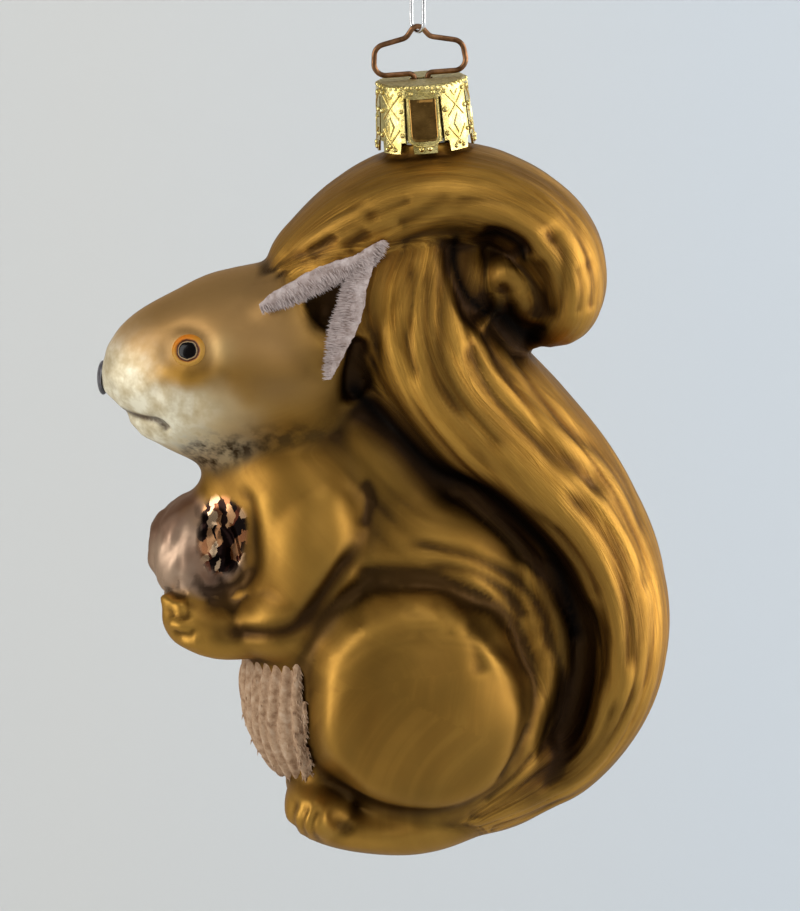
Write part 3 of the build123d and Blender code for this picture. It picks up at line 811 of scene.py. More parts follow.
# Painted shade along the deep creases: a near-black painted shadow at the bottom of each crease and a wider brown
# painted shade round it.
SHADE_STROKES = [
    ([(0.452, 0.672), (0.496, 0.636), (0.530, 0.615), (0.597, 0.565), (0.680, 0.538), (0.746, 0.490),
      (0.797, 0.443), (0.823, 0.390), (0.837, 0.334)], 1.2, 3.3),
    ([(0.837, 0.331), (0.835, 0.247), (0.809, 0.162), (0.765, 0.106)], 0.0, 2.7),
    (CROWN_STROKES[0][0], 0.5, 2.2), (CROWN_STROKES[1][0], 1.5, 3.4), (CROWN_STROKES[2][0], 0.6, 2.4),
    (BODY_STROKES[10][0], 0.0, 1.6),
]
crease_shadow, crease_shade_halo = np.zeros(len(points)), np.zeros(len(points))
for shares, narrow, wide in SHADE_STROKES:
    distance, _, _, _ = near_line(points[:, [0, 2]], smooth_line(places(shares), 5))
    if narrow:
        crease_shadow = np.maximum(crease_shadow, np.exp(-((distance / narrow) ** 2)) * fade(facing, 0.1, 0.4))
    crease_shade_halo = np.maximum(crease_shade_halo, np.exp(-((distance / wide) ** 2)))
# Painted shade in the grooves of the carved strokes, partly dark streaks painted on the glass.
drawn = np.clip(-carved / 0.45, 0, 1)
nut_window = ((x_share - 0.222) / 0.047) ** 2 + ((z_share - 0.466) / 0.058) ** 2
nut_window = (1 - fade(nut_window, 0.75, 1.05)) * fade(away, 1.5, 3.0) * (1 - belongs["head"])
mouth = -sum(stroke(points, shares, 0.40, 1.0, 0.05) for shares, *_ in FACE_STROKES[:1])
flow = np.zeros((len(points), 3))
body_part = 1 - tail_like - crown_like - belongs["head"]
flow[:, 0] = (tail_like * tail_along + crown_like * crown_along + belongs["head"] * head_along
              + body_part * back_along)
flow[:, 1] = (tail_like * tail_turn * 26 + crown_like * crown_turn * 20
              + belongs["head"] * head_turn * 24 + body_part * back_gap)
MASKS = {
    "groove": groove_mask, "hollow": hollow_mask, "muzzle": muzzle, "lower_face": lower_face,
    "cheek": cheek, "jaw": jaw, "nut": nut_mask, "belly": belly, "eye_ring": eye_ring,
    "ear_shade": ear_shade, "mouth": mouth, "head": belongs["head"],
    "hairy": np.clip(tail_like + crown_like, 0, 1), "crease_shadow": crease_shadow, "crease_shade_halo": crease_shade_halo,
    "nut_window": nut_window, "drawn": drawn, "pale_spot": pale_spot, "brow": brow_paint,
}
for name, values in MASKS.items():
    layer = skin.attributes.new(name, "FLOAT", "POINT")
    layer.data.foreach_set("value", values.astype(np.float32))
layer = skin.attributes.new("flow", "FLOAT_VECTOR", "POINT")
layer.data.foreach_set("vector", flow.astype(np.float32).ravel())
skin.transform(Matrix.Scale(MM, 4))
skin.shade_smooth()
squirrel = link_piece("lacquered_squirrel", skin)


# %% [markdown]
# ## The lacquer
# Silvered glass under thin coloured lacquer looks like satin metal. The colour is
# mixed from the masks: gold on the open masses, painted shade in the folds, painted
# highlight on the ridges and a painted near-black shadow at the bottom of a crease.
# One group draws brushed hair along the figure's flow, a second paints shade in hollows.

# %% Shared groups for brushed hair and for hollows
def new_group(name, inputs, outputs):
    """Shader group with named sockets and its input and output nodes."""
    group = bpy.data.node_groups.new(name, "ShaderNodeTree")
    for label, kind, value in inputs:
        socket = group.interface.new_socket(name=label, in_out="INPUT", socket_type=kind)
        if value is not None:
            socket.default_value = value
    for label, kind in outputs:
        group.interface.new_socket(name=label, in_out="OUTPUT", socket_type=kind)
    return group, group.nodes.new("NodeGroupInput"), group.nodes.new("NodeGroupOutput")


hair_group, inside, outside = new_group(
    "brushed_hair",
    [("Along Scale", "NodeSocketFloat", 0.12), ("Across Scale", "NodeSocketFloat", 1.0),
     ("Contrast", "NodeSocketFloat", 1.0)],
    [("Mask", "NodeSocketFloat"), ("Height", "NodeSocketFloat")],
)
flow_read = attribute(hair_group, "flow", "Vector")
flow_apart = add_node(hair_group, "ShaderNodeSeparateXYZ")
hair_group.links.new(flow_read, flow_apart.inputs[0])
flow_join = add_node(hair_group, "ShaderNodeCombineXYZ")
along_part = maths(hair_group, "MULTIPLY", flow_apart.outputs["X"], inside.outputs["Along Scale"])
across_part = maths(hair_group, "MULTIPLY", flow_apart.outputs["Y"], inside.outputs["Across Scale"])
hair_group.links.new(along_part, flow_join.inputs["X"])
hair_group.links.new(across_part, flow_join.inputs["Y"])
hair_noise = add_node(hair_group, "ShaderNodeTexNoise", Scale=1.0, Detail=4.0, Roughness=0.6, Distortion=0.6)
hair_group.links.new(flow_join.outputs[0], hair_noise.inputs["Vector"])
centred = maths(hair_group, "SUBTRACT", hair_noise.outputs["Fac"], 0.5)
stretched = maths(hair_group, "MULTIPLY", centred, 2.4)
stretched = maths(hair_group, "MULTIPLY", stretched, inside.outputs["Contrast"])
hair_group.links.new(maths(hair_group, "ADD", stretched, 0.5, True), outside.inputs["Mask"])
hair_group.links.new(hair_noise.outputs["Fac"], outside.inputs["Height"])

# Group for painted light: Fold darkens the hollows and grooves as painted shade, Ridge lightens the ridges as
# painted highlight.
fold_group, inside, outside = new_group(
    "fold_shade",
    [("Groove Gain", "NodeSocketFloat", 0.6), ("Hollow Gain", "NodeSocketFloat", 1.0)],
    [("Fold", "NodeSocketFloat"), ("Ridge", "NodeSocketFloat")],
)
groove_part = maths(fold_group, "MULTIPLY", attribute(fold_group, "groove"), inside.outputs["Groove Gain"])
hollow_part = maths(fold_group, "MULTIPLY", attribute(fold_group, "hollow"), inside.outputs["Hollow Gain"])
both = maths(fold_group, "ADD", groove_part, hollow_part)
fold_group.links.new(maths(fold_group, "MAXIMUM", both, 0.0, True), outside.inputs["Fold"])
fold_group.links.new(maths(fold_group, "MULTIPLY", both, -1.0, True), outside.inputs["Ridge"])


def place_group(tree, group, **values):
    """Node that holds a group, with some of its inputs set."""
    node = tree.nodes.new("ShaderNodeGroup")
    node.node_tree = group
    for name, value in values.items():
        node.inputs[name.replace("_", " ")].default_value = value
    return node


# %% Lacquer of the squirrel
# The last colour of the next line is the near black of the painted shadow at the bottom of the creases.
GOLD, BROWN, CREASE_SHADOW_BLACK = (0.50, 0.27, 0.050), (0.125, 0.056, 0.010), (0.0015, 0.0007, 0.0003)
MIDDLE, LIGHT_GOLD, OLIVE = (0.225, 0.110, 0.018), (0.74, 0.49, 0.15), (0.16, 0.088, 0.016)
# The second colour of the next line is the painted shade at the rim.
CREAM, GRAZING_RIM_SHADE, ORANGE = (0.78, 0.70, 0.50), (0.060, 0.034, 0.022), (0.55, 0.21, 0.03)
lacquer, tree, shader = new_material("satin_lacquer")
coarse = place_group(tree, hair_group, Along_Scale=0.05, Across_Scale=0.45, Contrast=1.3)
fine = place_group(tree, hair_group, Along_Scale=0.16, Across_Scale=2.2, Contrast=1.0)
folds = place_group(tree, fold_group, Groove_Gain=0.60, Hollow_Gain=0.60)
spot = add_node(tree, "ShaderNodeTexCoord")
cloud = add_node(tree, "ShaderNodeTexNoise", Scale=85.0, Detail=3.0, Roughness=0.55)
tree.links.new(spot.outputs["Object"], cloud.inputs["Vector"])
speckle = add_node(tree, "ShaderNodeTexNoise", Scale=1500.0, Detail=2.0, Roughness=0.7)
tree.links.new(spot.outputs["Object"], speckle.inputs["Vector"])
hairy = attribute(tree, "hairy")

colour = ramp(tree, coarse.outputs["Mask"], [(0.1, BROWN), (0.5, MIDDLE), (0.9, GOLD)])
colour = mix(tree, maths(tree, "SUBTRACT", 0.85, hairy, True), colour, MIDDLE)
cloud_mask = ramp(tree, cloud.outputs["Fac"], [(0.38, (0, 0, 0)), (0.66, (1, 1, 1))])
colour = mix(tree, maths(tree, "MULTIPLY", cloud_mask, 0.55), colour, OLIVE)
fine_light = maths(tree, "MULTIPLY", maths(tree, "MULTIPLY", fine.outputs["Mask"], hairy), 0.30)
colour = mix(tree, fine_light, colour, LIGHT_GOLD, "SOFT_LIGHT")
# Painted highlight on the ridges, partly the gold where the brown is wiped off.
colour = mix(tree, maths(tree, "MULTIPLY", folds.outputs["Ridge"], 0.60), colour, GOLD)
colour = mix(tree, maths(tree, "MULTIPLY", attribute(tree, "cheek"), 0.75), colour, (0.28, 0.16, 0.058))
smear = maths(tree, "MULTIPLY", cloud_mask, 0.55)
smear = maths(tree, "MULTIPLY", maths(tree, "ADD", smear, 0.35), attribute(tree, "lower_face"))
colour = mix(tree, smear, colour, (0.60, 0.46, 0.26))
blotch = add_node(tree, "ShaderNodeTexNoise", Scale=420.0, Detail=3.0, Roughness=0.6)
tree.links.new(spot.outputs["Object"], blotch.inputs["Vector"])
cream = ramp(tree, blotch.outputs["Fac"], [(0.34, (0.50, 0.41, 0.25)), (0.50, (0.66, 0.58, 0.40)), (0.64, (0.84, 0.78, 0.60))])
colour = mix(tree, maths(tree, "MULTIPLY", attribute(tree, "muzzle"), 0.95), colour, cream)
colour = mix(tree, maths(tree, "MULTIPLY", attribute(tree, "brow"), 0.75), colour, (0.46, 0.27, 0.105))
# Painted shade under the jaw, broken into hair-like spots.
jaw_spots = ramp(tree, blotch.outputs["Fac"], [(0.44, (0, 0, 0)), (0.60, (1, 1, 1))])
under_jaw_shade = maths(tree, "MULTIPLY", attribute(tree, "jaw"), jaw_spots)
colour = mix(tree, maths(tree, "MULTIPLY", under_jaw_shade, 1.1, True), colour, (0.050, 0.028, 0.009))
# Painted shade in the eye socket.
colour = mix(tree, maths(tree, "MULTIPLY", attribute(tree, "eye_ring"), 0.55), colour, (0.17, 0.10, 0.035))
nut_colour = ramp(tree, cloud.outputs["Fac"], [(0.40, (0.20, 0.105, 0.065)), (0.60, (0.42, 0.29, 0.20))])
colour = mix(tree, attribute(tree, "nut"), colour, nut_colour)
# Painted shade in the carved grooves, partly dark streaks painted on the glass.
colour = mix(tree, maths(tree, "MULTIPLY", attribute(tree, "drawn"), 0.42), colour, (0.045, 0.019, 0.005))
# Wider painted shade round the deep creases.
colour = mix(tree, maths(tree, "MULTIPLY", attribute(tree, "crease_shade_halo"), 0.66), colour, (0.030, 0.012, 0.003))
colour = mix(tree, maths(tree, "MULTIPLY", attribute(tree, "pale_spot"), 0.5), colour, (0.66, 0.50, 0.24))
# Painted shade in the hollows and grooves, near black where they are deepest.
painted_fold_shade = ramp(tree, folds.outputs["Fold"], [(0.08, (0, 0, 0)), (0.85, (1, 1, 1))])
colour = mix(tree, maths(tree, "MULTIPLY", painted_fold_shade, 0.85), colour, (0.022, 0.010, 0.004))
# Painted reflections in the crumpled mirror of the nut window: each facet gets a near-black, red-brown or pale
# colour over the copper.
crumple = add_node(tree, "ShaderNodeTexVoronoi", Scale=980.0, Randomness=1.0)
crumple_bend = add_node(tree, "ShaderNodeMapping")
crumple_bend.inputs["Scale"].default_value = (1.0, 0.6, 0.55)
bent = mix(tree, 0.0022, spot.outputs["Object"], blotch.outputs["Color"], "ADD")
tree.links.new(bent, crumple_bend.inputs["Vector"])
tree.links.new(crumple_bend.outputs[0], crumple.inputs["Vector"])
cell = add_node(tree, "ShaderNodeSeparateColor")
tree.links.new(crumple.outputs["Color"], cell.inputs[0])
painted_facet_reflections = ramp(tree, cell.outputs[0], [
    (0.0, (0.004, 0.002, 0.002)), (0.36, (0.012, 0.004, 0.003)), (0.44, (0.12, 0.030, 0.014)),
    (0.60, (0.22, 0.085, 0.035)), (0.76, (0.34, 0.17, 0.075)), (1.0, (0.52, 0.36, 0.22)),
])
colour = mix(tree, attribute(tree, "nut_window"), colour, painted_facet_reflections)
colour = mix(tree, attribute(tree, "ear_shade"), colour, (0.010, 0.005, 0.003))
colour = mix(tree, maths(tree, "MULTIPLY", attribute(tree, "mouth"), 0.85, True), colour, (0.06, 0.035, 0.025))
# Painted shade at the rim, where the surface turns away from the camera.
edge = add_node(tree, "ShaderNodeLayerWeight", Blend=0.28)
rim = ramp(tree, edge.outputs["Facing"], [(0.62, (0, 0, 0)), (0.97, (0.80, 0.80, 0.80))])
colour = mix(tree, rim, colour, GRAZING_RIM_SHADE)
# Painted near-black shadow at the bottom of the deep creases.
colour = mix(tree, attribute(tree, "crease_shadow"), colour, CREASE_SHADOW_BLACK)
tree.links.new(colour, shader.inputs["Base Color"])
rough = maths(tree, "MULTIPLY", speckle.outputs["Fac"], 0.12)
rough = maths(tree, "ADD", rough, 0.42)
window_cut = maths(tree, "MULTIPLY", attribute(tree, "nut_window"), 0.32)
tree.links.new(maths(tree, "SUBTRACT", rough, window_cut, True), shader.inputs["Roughness"])
paint = maths(tree, "MULTIPLY", attribute(tree, "muzzle"), 0.55)
tree.links.new(maths(tree, "SUBTRACT", 0.90, paint, True), shader.inputs["Metallic"])
ridges = add_node(tree, "ShaderNodeBump", Strength=0.35, Distance=0.0004)
tree.links.new(maths(tree, "MULTIPLY", fine.outputs["Height"], hairy), ridges.inputs["Height"])
tree.links.new(ridges.outputs["Normal"], shader.inputs["Normal"])
shader.inputs["Coat Roughness"].default_value = 0.30
shader.inputs["Coat Weight"].default_value = 0.03
shader.inputs["Specular IOR Level"].default_value = 0.30
shader.inputs["Specular Tint"].default_value = (0.80, 0.66, 0.55, 1)
squirrel.data.materials.append(lacquer)
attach(squirrel, "glass")
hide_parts("glass_body")

# %% [markdown]
# ## Metals
# The hook is bright silver wire, the loop is darker spring wire, the cap is thin
# pressed brass and the neck is silvered glass. Each of them is metal with faint
# wear, so one group makes scratches and stains and each finish sets its own sizes.

# %% Shared wear group and the plain metals
wear_group, inside, outside = new_group(
    "metal_wear",
    [("Stain Scale", "NodeSocketFloat", 400.0), ("Scratch Scale", "NodeSocketFloat", 2500.0)],
    [("Stain", "NodeSocketFloat"), ("Scratch", "NodeSocketFloat")],
)
spot = add_node(wear_group, "ShaderNodeTexCoord")
stain = add_node(wear_group, "ShaderNodeTexNoise", Detail=5.0, Roughness=0.62)
scratch = add_node(wear_group, "ShaderNodeTexNoise", Detail=2.0, Roughness=0.5, Distortion=2.0)
for node, label in ((stain, "Stain Scale"), (scratch, "Scratch Scale")):
    wear_group.links.new(spot.outputs["Object"], node.inputs["Vector"])
    wear_group.links.new(inside.outputs[label], node.inputs["Scale"])
wear_group.links.new(stain.outputs["Fac"], outside.inputs["Stain"])
wear_group.links.new(scratch.outputs["Fac"], outside.inputs["Scratch"])


def metal(name, dark, light, rough_low, rough_high, bump, stain_scale):
    """Metal whose colour and roughness drift with its stains."""
    material, tree, shader = new_material(name)
    wear = place_group(tree, wear_group, Stain_Scale=stain_scale, Scratch_Scale=stain_scale * 6)
    tone = ramp(tree, wear.outputs["Stain"], [(0.35, dark), (0.65, light)])
    tree.links.new(tone, shader.inputs["Base Color"])
    span = add_node(tree, "ShaderNodeMapRange", To_Min=rough_low, To_Max=rough_high)
    tree.links.new(wear.outputs["Scratch"], span.inputs["Value"])
    tree.links.new(span.outputs["Result"], shader.inputs["Roughness"])
    dent = add_node(tree, "ShaderNodeBump", Strength=bump, Distance=0.0001)
    tree.links.new(wear.outputs["Scratch"], dent.inputs["Height"])
    tree.links.new(dent.outputs["Normal"], shader.inputs["Normal"])
    shader.inputs["Metallic"].default_value = 1.0
    return material


bright_wire = metal("bright_wire", (0.52, 0.52, 0.53), (0.80, 0.80, 0.80), 0.12, 0.30, 0.15, 900.0)
spring_wire = metal("spring_wire", (0.10, 0.045, 0.020), (0.32, 0.16, 0.075), 0.22, 0.42, 0.25, 700.0)
pressed_brass = metal("pressed_brass", (0.50, 0.38, 0.11), (0.80, 0.66, 0.27), 0.12, 0.26, 0.35, 600.0)
panel_brass = metal("panel_brass", (0.16, 0.080, 0.018), (0.40, 0.22, 0.060), 0.06, 0.16, 0.10, 260.0)

# %% Rough top of the cap
tree = pressed_brass.node_tree
shader = tree.nodes["Principled BSDF"]
spot = add_node(tree, "ShaderNodeTexCoord")
apart = add_node(tree, "ShaderNodeSeparateXYZ")
tree.links.new(spot.outputs["Normal"], apart.inputs[0])
top_part = ramp(tree, apart.outputs["Z"], [(0.86, (0, 0, 0)), (0.96, (1, 1, 1))])
grit = add_node(tree, "ShaderNodeTexNoise", Scale=2200.0, Detail=4.0, Roughness=0.7)
tree.links.new(spot.outputs["Object"], grit.inputs["Vector"])
old_colour = shader.inputs["Base Color"].links[0].from_socket
old_rough = shader.inputs["Roughness"].links[0].from_socket
gritty = ramp(tree, grit.outputs["Fac"], [(0.35, (0.30, 0.22, 0.075)), (0.65, (0.62, 0.50, 0.22))])
tree.links.new(mix(tree, top_part, old_colour, gritty), shader.inputs["Base Color"])
tree.links.new(maths(tree, "ADD", old_rough, maths(tree, "MULTIPLY", top_part, 0.35)), shader.inputs["Roughness"])
print("cap finishes:", pressed_brass.name, panel_brass.name)

# %% Neck
silvered_neck = metal("silvered_neck", (0.55, 0.53, 0.48), (0.78, 0.76, 0.70), 0.06, 0.20, 0.10, 300.0)


def finish_node(name, material):
    """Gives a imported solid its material."""
    slots = nodes[name].data.materials
    slots.clear()
    slots.append(material)
    for slot in nodes[name].material_slots:
        slot.material = material


finish_node("hanging_hook", bright_wire)
finish_node("hanger_wire", spring_wire)
finish_node("crown_cap", pressed_brass)
finish_node("glass_neck", silvered_neck)

# %% [markdown]
# ## Frosting
# The ears and the belly carry a pale paste that was combed while it was wet, so it
# stands in short bristles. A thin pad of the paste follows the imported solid, and
# Geometry Nodes grow the bristles: points are scattered over the pad, each carries
# a small four-sided cone, and a comb direction on the pad leans them.

# %% Bristle tree
def new_tree(name, inputs):
    """Geometry node tree with named inputs, its input node and its output node."""
    tree = bpy.data.node_groups.new(name, "GeometryNodeTree")
    tree.interface.new_socket(name="Pad", in_out="INPUT", socket_type="NodeSocketGeometry")
    for label, kind, value in inputs:
        socket = tree.interface.new_socket(name=label, in_out="INPUT", socket_type=kind)
        if value is not None:
            socket.default_value = value
    tree.interface.new_socket(name="Result", in_out="OUTPUT", socket_type="NodeSocketGeometry")
    return tree, tree.nodes.new("NodeGroupInput"), tree.nodes.new("NodeGroupOutput")


def grow(piece, tree, **values):
    """Runs a tree on a piece and keeps the result as its plain mesh."""
    change = piece.modifiers.new(tree.name, "NODES")
    change.node_group = tree
    for item in tree.interface.items_tree:
        name = item.name.replace(" ", "_")
        if item.in_out == "INPUT" and name in values:
            change[item.identifier] = values[name]
    mesh = plain_mesh(piece)
    piece.modifiers.clear()
    piece.data = mesh
    print(piece.name, "has", len(mesh.polygons), "faces")


def vector_maths(tree, operation, first, second):
    """One vector sum on sockets."""
    node = tree.nodes.new("ShaderNodeVectorMath")
    node.operation = operation
    tree.links.new(first, node.inputs[0])
    if operation == "SCALE":
        tree.links.new(second, node.inputs["Scale"])
    else:
        tree.links.new(second, node.inputs[1])
    return node.outputs[0]


bristles, inside, outside = new_tree(
    "combed_bristles",
    [("Density", "NodeSocketFloat", 12e6), ("Length", "NodeSocketFloat", 0.0009),
     ("Thickness", "NodeSocketFloat", 0.0001), ("Lean", "NodeSocketFloat", 1.0),
     ("Disorder", "NodeSocketFloat", 0.4), ("Seed", "NodeSocketInt", 1),
     ("Finish", "NodeSocketMaterial", None)],
)
links_of = bristles.links
scatter = add_node(bristles, "GeometryNodeDistributePointsOnFaces")
links_of.new(inside.outputs["Pad"], scatter.inputs["Mesh"])
growth = add_node(bristles, "GeometryNodeInputNamedAttribute", data_type="FLOAT")
growth.inputs["Name"].default_value = "growth"
growing = maths(bristles, "MULTIPLY", inside.outputs["Density"], growth.outputs["Attribute"])
links_of.new(growing, scatter.inputs["Density"])
links_of.new(inside.outputs["Seed"], scatter.inputs["Seed"])
comb = add_node(bristles, "GeometryNodeInputNamedAttribute", data_type="FLOAT_VECTOR")
comb.inputs["Name"].default_value = "comb"
chance = add_node(bristles, "FunctionNodeRandomValue", data_type="FLOAT_VECTOR")
chance.inputs["Min"].default_value = (-1, -1, -1)
links_of.new(inside.outputs["Seed"], chance.inputs["Seed"])
leaning = vector_maths(bristles, "SCALE", comb.outputs["Attribute"], inside.outputs["Lean"])
loose = vector_maths(bristles, "SCALE", chance.outputs["Value"], inside.outputs["Disorder"])
aim_way = vector_maths(bristles, "ADD", scatter.outputs["Normal"], leaning)
aim_way = vector_maths(bristles, "ADD", aim_way, loose)
turned = add_node(bristles, "FunctionNodeAlignRotationToVector", axis="Z")
links_of.new(aim_way, turned.inputs["Vector"])
cone = add_node(bristles, "GeometryNodeMeshCone")
cone.inputs["Vertices"].default_value = 4
cone.inputs["Radius Bottom"].default_value = 1.0
cone.inputs["Depth"].default_value = 1.0
height = add_node(bristles, "GeometryNodeInputPosition")
height_apart = add_node(bristles, "ShaderNodeSeparateXYZ")
links_of.new(height.outputs[0], height_apart.inputs[0])
marked = add_node(bristles, "GeometryNodeStoreNamedAttribute", data_type="FLOAT", domain="POINT")
marked.inputs["Name"].default_value = "tip"
links_of.new(cone.outputs["Mesh"], marked.inputs["Geometry"])
links_of.new(height_apart.outputs["Z"], marked.inputs["Value"])
vary = add_node(bristles, "FunctionNodeRandomValue", data_type="FLOAT")
vary.inputs[2].default_value = 0.55
vary.inputs[3].default_value = 1.25
links_of.new(inside.outputs["Seed"], vary.inputs["Seed"])
long = maths(bristles, "MULTIPLY", inside.outputs["Length"], vary.outputs[1])
sizes = add_node(bristles, "ShaderNodeCombineXYZ")
links_of.new(inside.outputs["Thickness"], sizes.inputs["X"])
links_of.new(inside.outputs["Thickness"], sizes.inputs["Y"])
links_of.new(long, sizes.inputs["Z"])
planted = add_node(bristles, "GeometryNodeInstanceOnPoints")
links_of.new(scatter.outputs["Points"], planted.inputs["Points"])
links_of.new(marked.outputs["Geometry"], planted.inputs["Instance"])
links_of.new(turned.outputs["Rotation"], planted.inputs["Rotation"])
links_of.new(sizes.outputs[0], planted.inputs["Scale"])
joined = add_node(bristles, "GeometryNodeJoinGeometry")
links_of.new(planted.outputs["Instances"], joined.inputs[0])
links_of.new(inside.outputs["Pad"], joined.inputs[0])
real = add_node(bristles, "GeometryNodeRealizeInstances")
links_of.new(joined.outputs[0], real.inputs[0])
dressed = add_node(bristles, "GeometryNodeSetMaterial")
links_of.new(real.outputs[0], dressed.inputs["Geometry"])
links_of.new(inside.outputs["Finish"], dressed.inputs["Material"])
links_of.new(dressed.outputs[0], outside.inputs["Result"])


# %% Finish of the paste
def paste(name, root, middle, tip):
    """Matte frosting: painted shade between the bristles, lighter towards their tips."""
    material, tree, shader = new_material(name)
    spot = add_node(tree, "ShaderNodeTexCoord")
    grain = add_node(tree, "ShaderNodeTexNoise", Scale=900.0, Detail=4.0, Roughness=0.65)
    blotch = add_node(tree, "ShaderNodeTexNoise", Scale=160.0, Detail=2.0)
    tree.links.new(spot.outputs["Object"], grain.inputs["Vector"])
    tree.links.new(spot.outputs["Object"], blotch.inputs["Vector"])
    tone = ramp(tree, grain.outputs["Fac"], [(0.34, root), (0.5, middle), (0.68, tip)])
    # Painted shade at the roots of the bristles and on the pad between them, lighter towards the tips.
    tone = mix(tree, maths(tree, "MULTIPLY", attribute(tree, "tip"), 0.8), tone, tip)
    tone = mix(tree, maths(tree, "MULTIPLY", blotch.outputs["Fac"], 0.35), tone, middle)
    tree.links.new(tone, shader.inputs["Base Color"])
    lumps = add_node(tree, "ShaderNodeBump", Strength=0.3, Distance=0.0002)
    tree.links.new(grain.outputs["Fac"], lumps.inputs["Height"])
    tree.links.new(lumps.outputs["Normal"], shader.inputs["Normal"])
    shader.inputs["Roughness"].default_value = 0.82
    return material


ear_paste = paste("ear_paste", (0.24, 0.17, 0.14), (0.44, 0.35, 0.32), (0.62, 0.53, 0.50))
belly_paste = paste("belly_paste", (0.22, 0.115, 0.055), (0.41, 0.255, 0.145), (0.53, 0.375, 0.25))


# %% Pads of paste
def paste_pad(name, voxel, swell, ripple):
    """Even, slightly swollen copy of a packed frosting solid, and its array of points in mm."""
    work = bmesh.new()
    work.from_mesh(nodes[name].data)
    bmesh.ops.scale(work, vec=(1 / MM,) * 3, verts=work.verts)
    bmesh.ops.remove_doubles(work, verts=work.verts, dist=MERGE)
    mesh = bpy.data.meshes.new(name + "_paste")
    work.to_mesh(mesh)
    work.free()
    mesh = remeshed(mesh, voxel)
    pairs = read_links(mesh)
    spots = averaged(read_points(mesh), pairs, 3)
    write_points(mesh, spots)
    ways = read_normals(mesh)
    wave = noise(spots[:, 0] / 0.8 + spots[:, 1] / 1.1, spots[:, 2] / 1.4, 131)
    spots = spots + ways * (swell + ripple * wave)[:, None]
    write_points(mesh, spots)
    return mesh, spots


def finish_fleece(name, mesh, comb_ways, growths, material, **values):
    """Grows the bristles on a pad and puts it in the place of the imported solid."""
    layer = mesh.attributes.new("growth", "FLOAT", "POINT")
    layer.data.foreach_set("value", np.array(growths, np.float32))
    layer = mesh.attributes.new("comb", "FLOAT_VECTOR", "POINT")
    layer.data.foreach_set("vector", comb_ways.astype(np.float32).ravel())
    mesh.shade_smooth()
    piece = link_piece(name + "_bristles", mesh)
    grow(piece, bristles, Finish=material, **values)
    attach(piece, "glass")
    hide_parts(name)


EAR_BANDS = [
    [(0.289, 0.798, 0.35), (0.313, 0.808, 0.80), (0.351, 0.822, 1.10), (0.389, 0.838, 1.18),
     (0.426, 0.851, 1.05), (0.461, 0.862, 0.95), (0.483, 0.876, 0.75), (0.502, 0.890, 0.25)],
    [(0.480, 0.866, 0.70), (0.468, 0.851, 1.05), (0.457, 0.830, 1.22), (0.446, 0.794, 1.42),
     (0.433, 0.766, 1.35), (0.423, 0.740, 0.95), (0.414, 0.716, 0.50), (0.410, 0.703, 0.18)],
]
EAR_SHARES = [(0.283, 0.796, 0.238), (0.501, 0.889, 0.250), (0.414, 0.708, 0.293)]
BAND_SIDES, BAND_THICK, BAND_RISE = 20, 0.42, 0.18


def ear_band(way):
    """Two flattened tubes of paste along the rim of one ear, and the comb direction."""
    corners = [Vector((*places([row])[0], way * row[2] * DEPTH)).xzy for row in EAR_SHARES]
    square = (corners[1] - corners[0]).cross(corners[2] - corners[0]).normalized()
    square = square if square.y * way > 0 else -square
    verts, faces, combs, growths = [], [], [], []
    middle = sum(corners, Vector()) / 3
    for band in EAR_BANDS:
        line = smooth_line(band, 12)
        spots = []
        for x, z in places(line):
            flat = Vector((x, 0, z))
            spots.append(flat + Vector((0, 1, 0)) * (square.dot(corners[0] - flat) / square.y))
        first = len(verts)
        for i, spot in enumerate(spots):
            step = (spots[min(i + 1, len(spots) - 1)] - spots[max(i - 1, 0)]).normalized()
            across = square.cross(step).normalized()
            inward = across if across.dot(middle - spot) > 0 else -across
            for k in range(BAND_SIDES):
                turn = 2 * math.pi * k / BAND_SIDES
                reach = line[i][2] * (1 + 0.10 * noise(np.array([i / 2.3]), np.array([k * 0.9]), 7)[0])
                spot_here = spot + across * (reach * math.cos(turn))
                spot_here += square * (BAND_RISE + BAND_THICK * math.sin(turn))
                verts.append(spot_here * MM)
                inner = across.dot(inward) * math.cos(turn)
                combs.append(inward * 0.9 + step * 0.2)
                growths.append(0.10 + 0.35 * fade(inner, -0.6, 0.1) + 1.2 * fade(inner, 0.3, 0.9))
        for i in range(len(spots) - 1):
            for k in range(BAND_SIDES):
                j, low, high = (k + 1) % BAND_SIDES, first + i * BAND_SIDES, first + (i + 1) * BAND_SIDES
                faces.append((low + k, low + j, high + j, high + k))
        last = first + (len(spots) - 1) * BAND_SIDES
        faces.append(tuple(range(first, first + BAND_SIDES))[::-1])
        faces.append(tuple(range(last, last + BAND_SIDES)))
    mesh = bpy.data.meshes.new("ear_band")
    mesh.from_pydata([v[:] for v in verts], [], faces)
    work = bmesh.new()
    work.from_mesh(mesh)
    bmesh.ops.recalc_face_normals(work, faces=work.faces)
    work.to_mesh(mesh)
    work.free()
    return mesh, np.array([v[:] for v in combs]), growths


for seed, (name, way) in enumerate((("ear_frosting_left", -1), ("ear_frosting_right", 1))):
    pad, combs, growths = ear_band(way)
    finish_fleece(name, pad, combs, growths, ear_paste, Density=26e6, Length=0.00075, Thickness=0.00011,
                  Lean=2.4, Disorder=0.35, Seed=seed + 3)

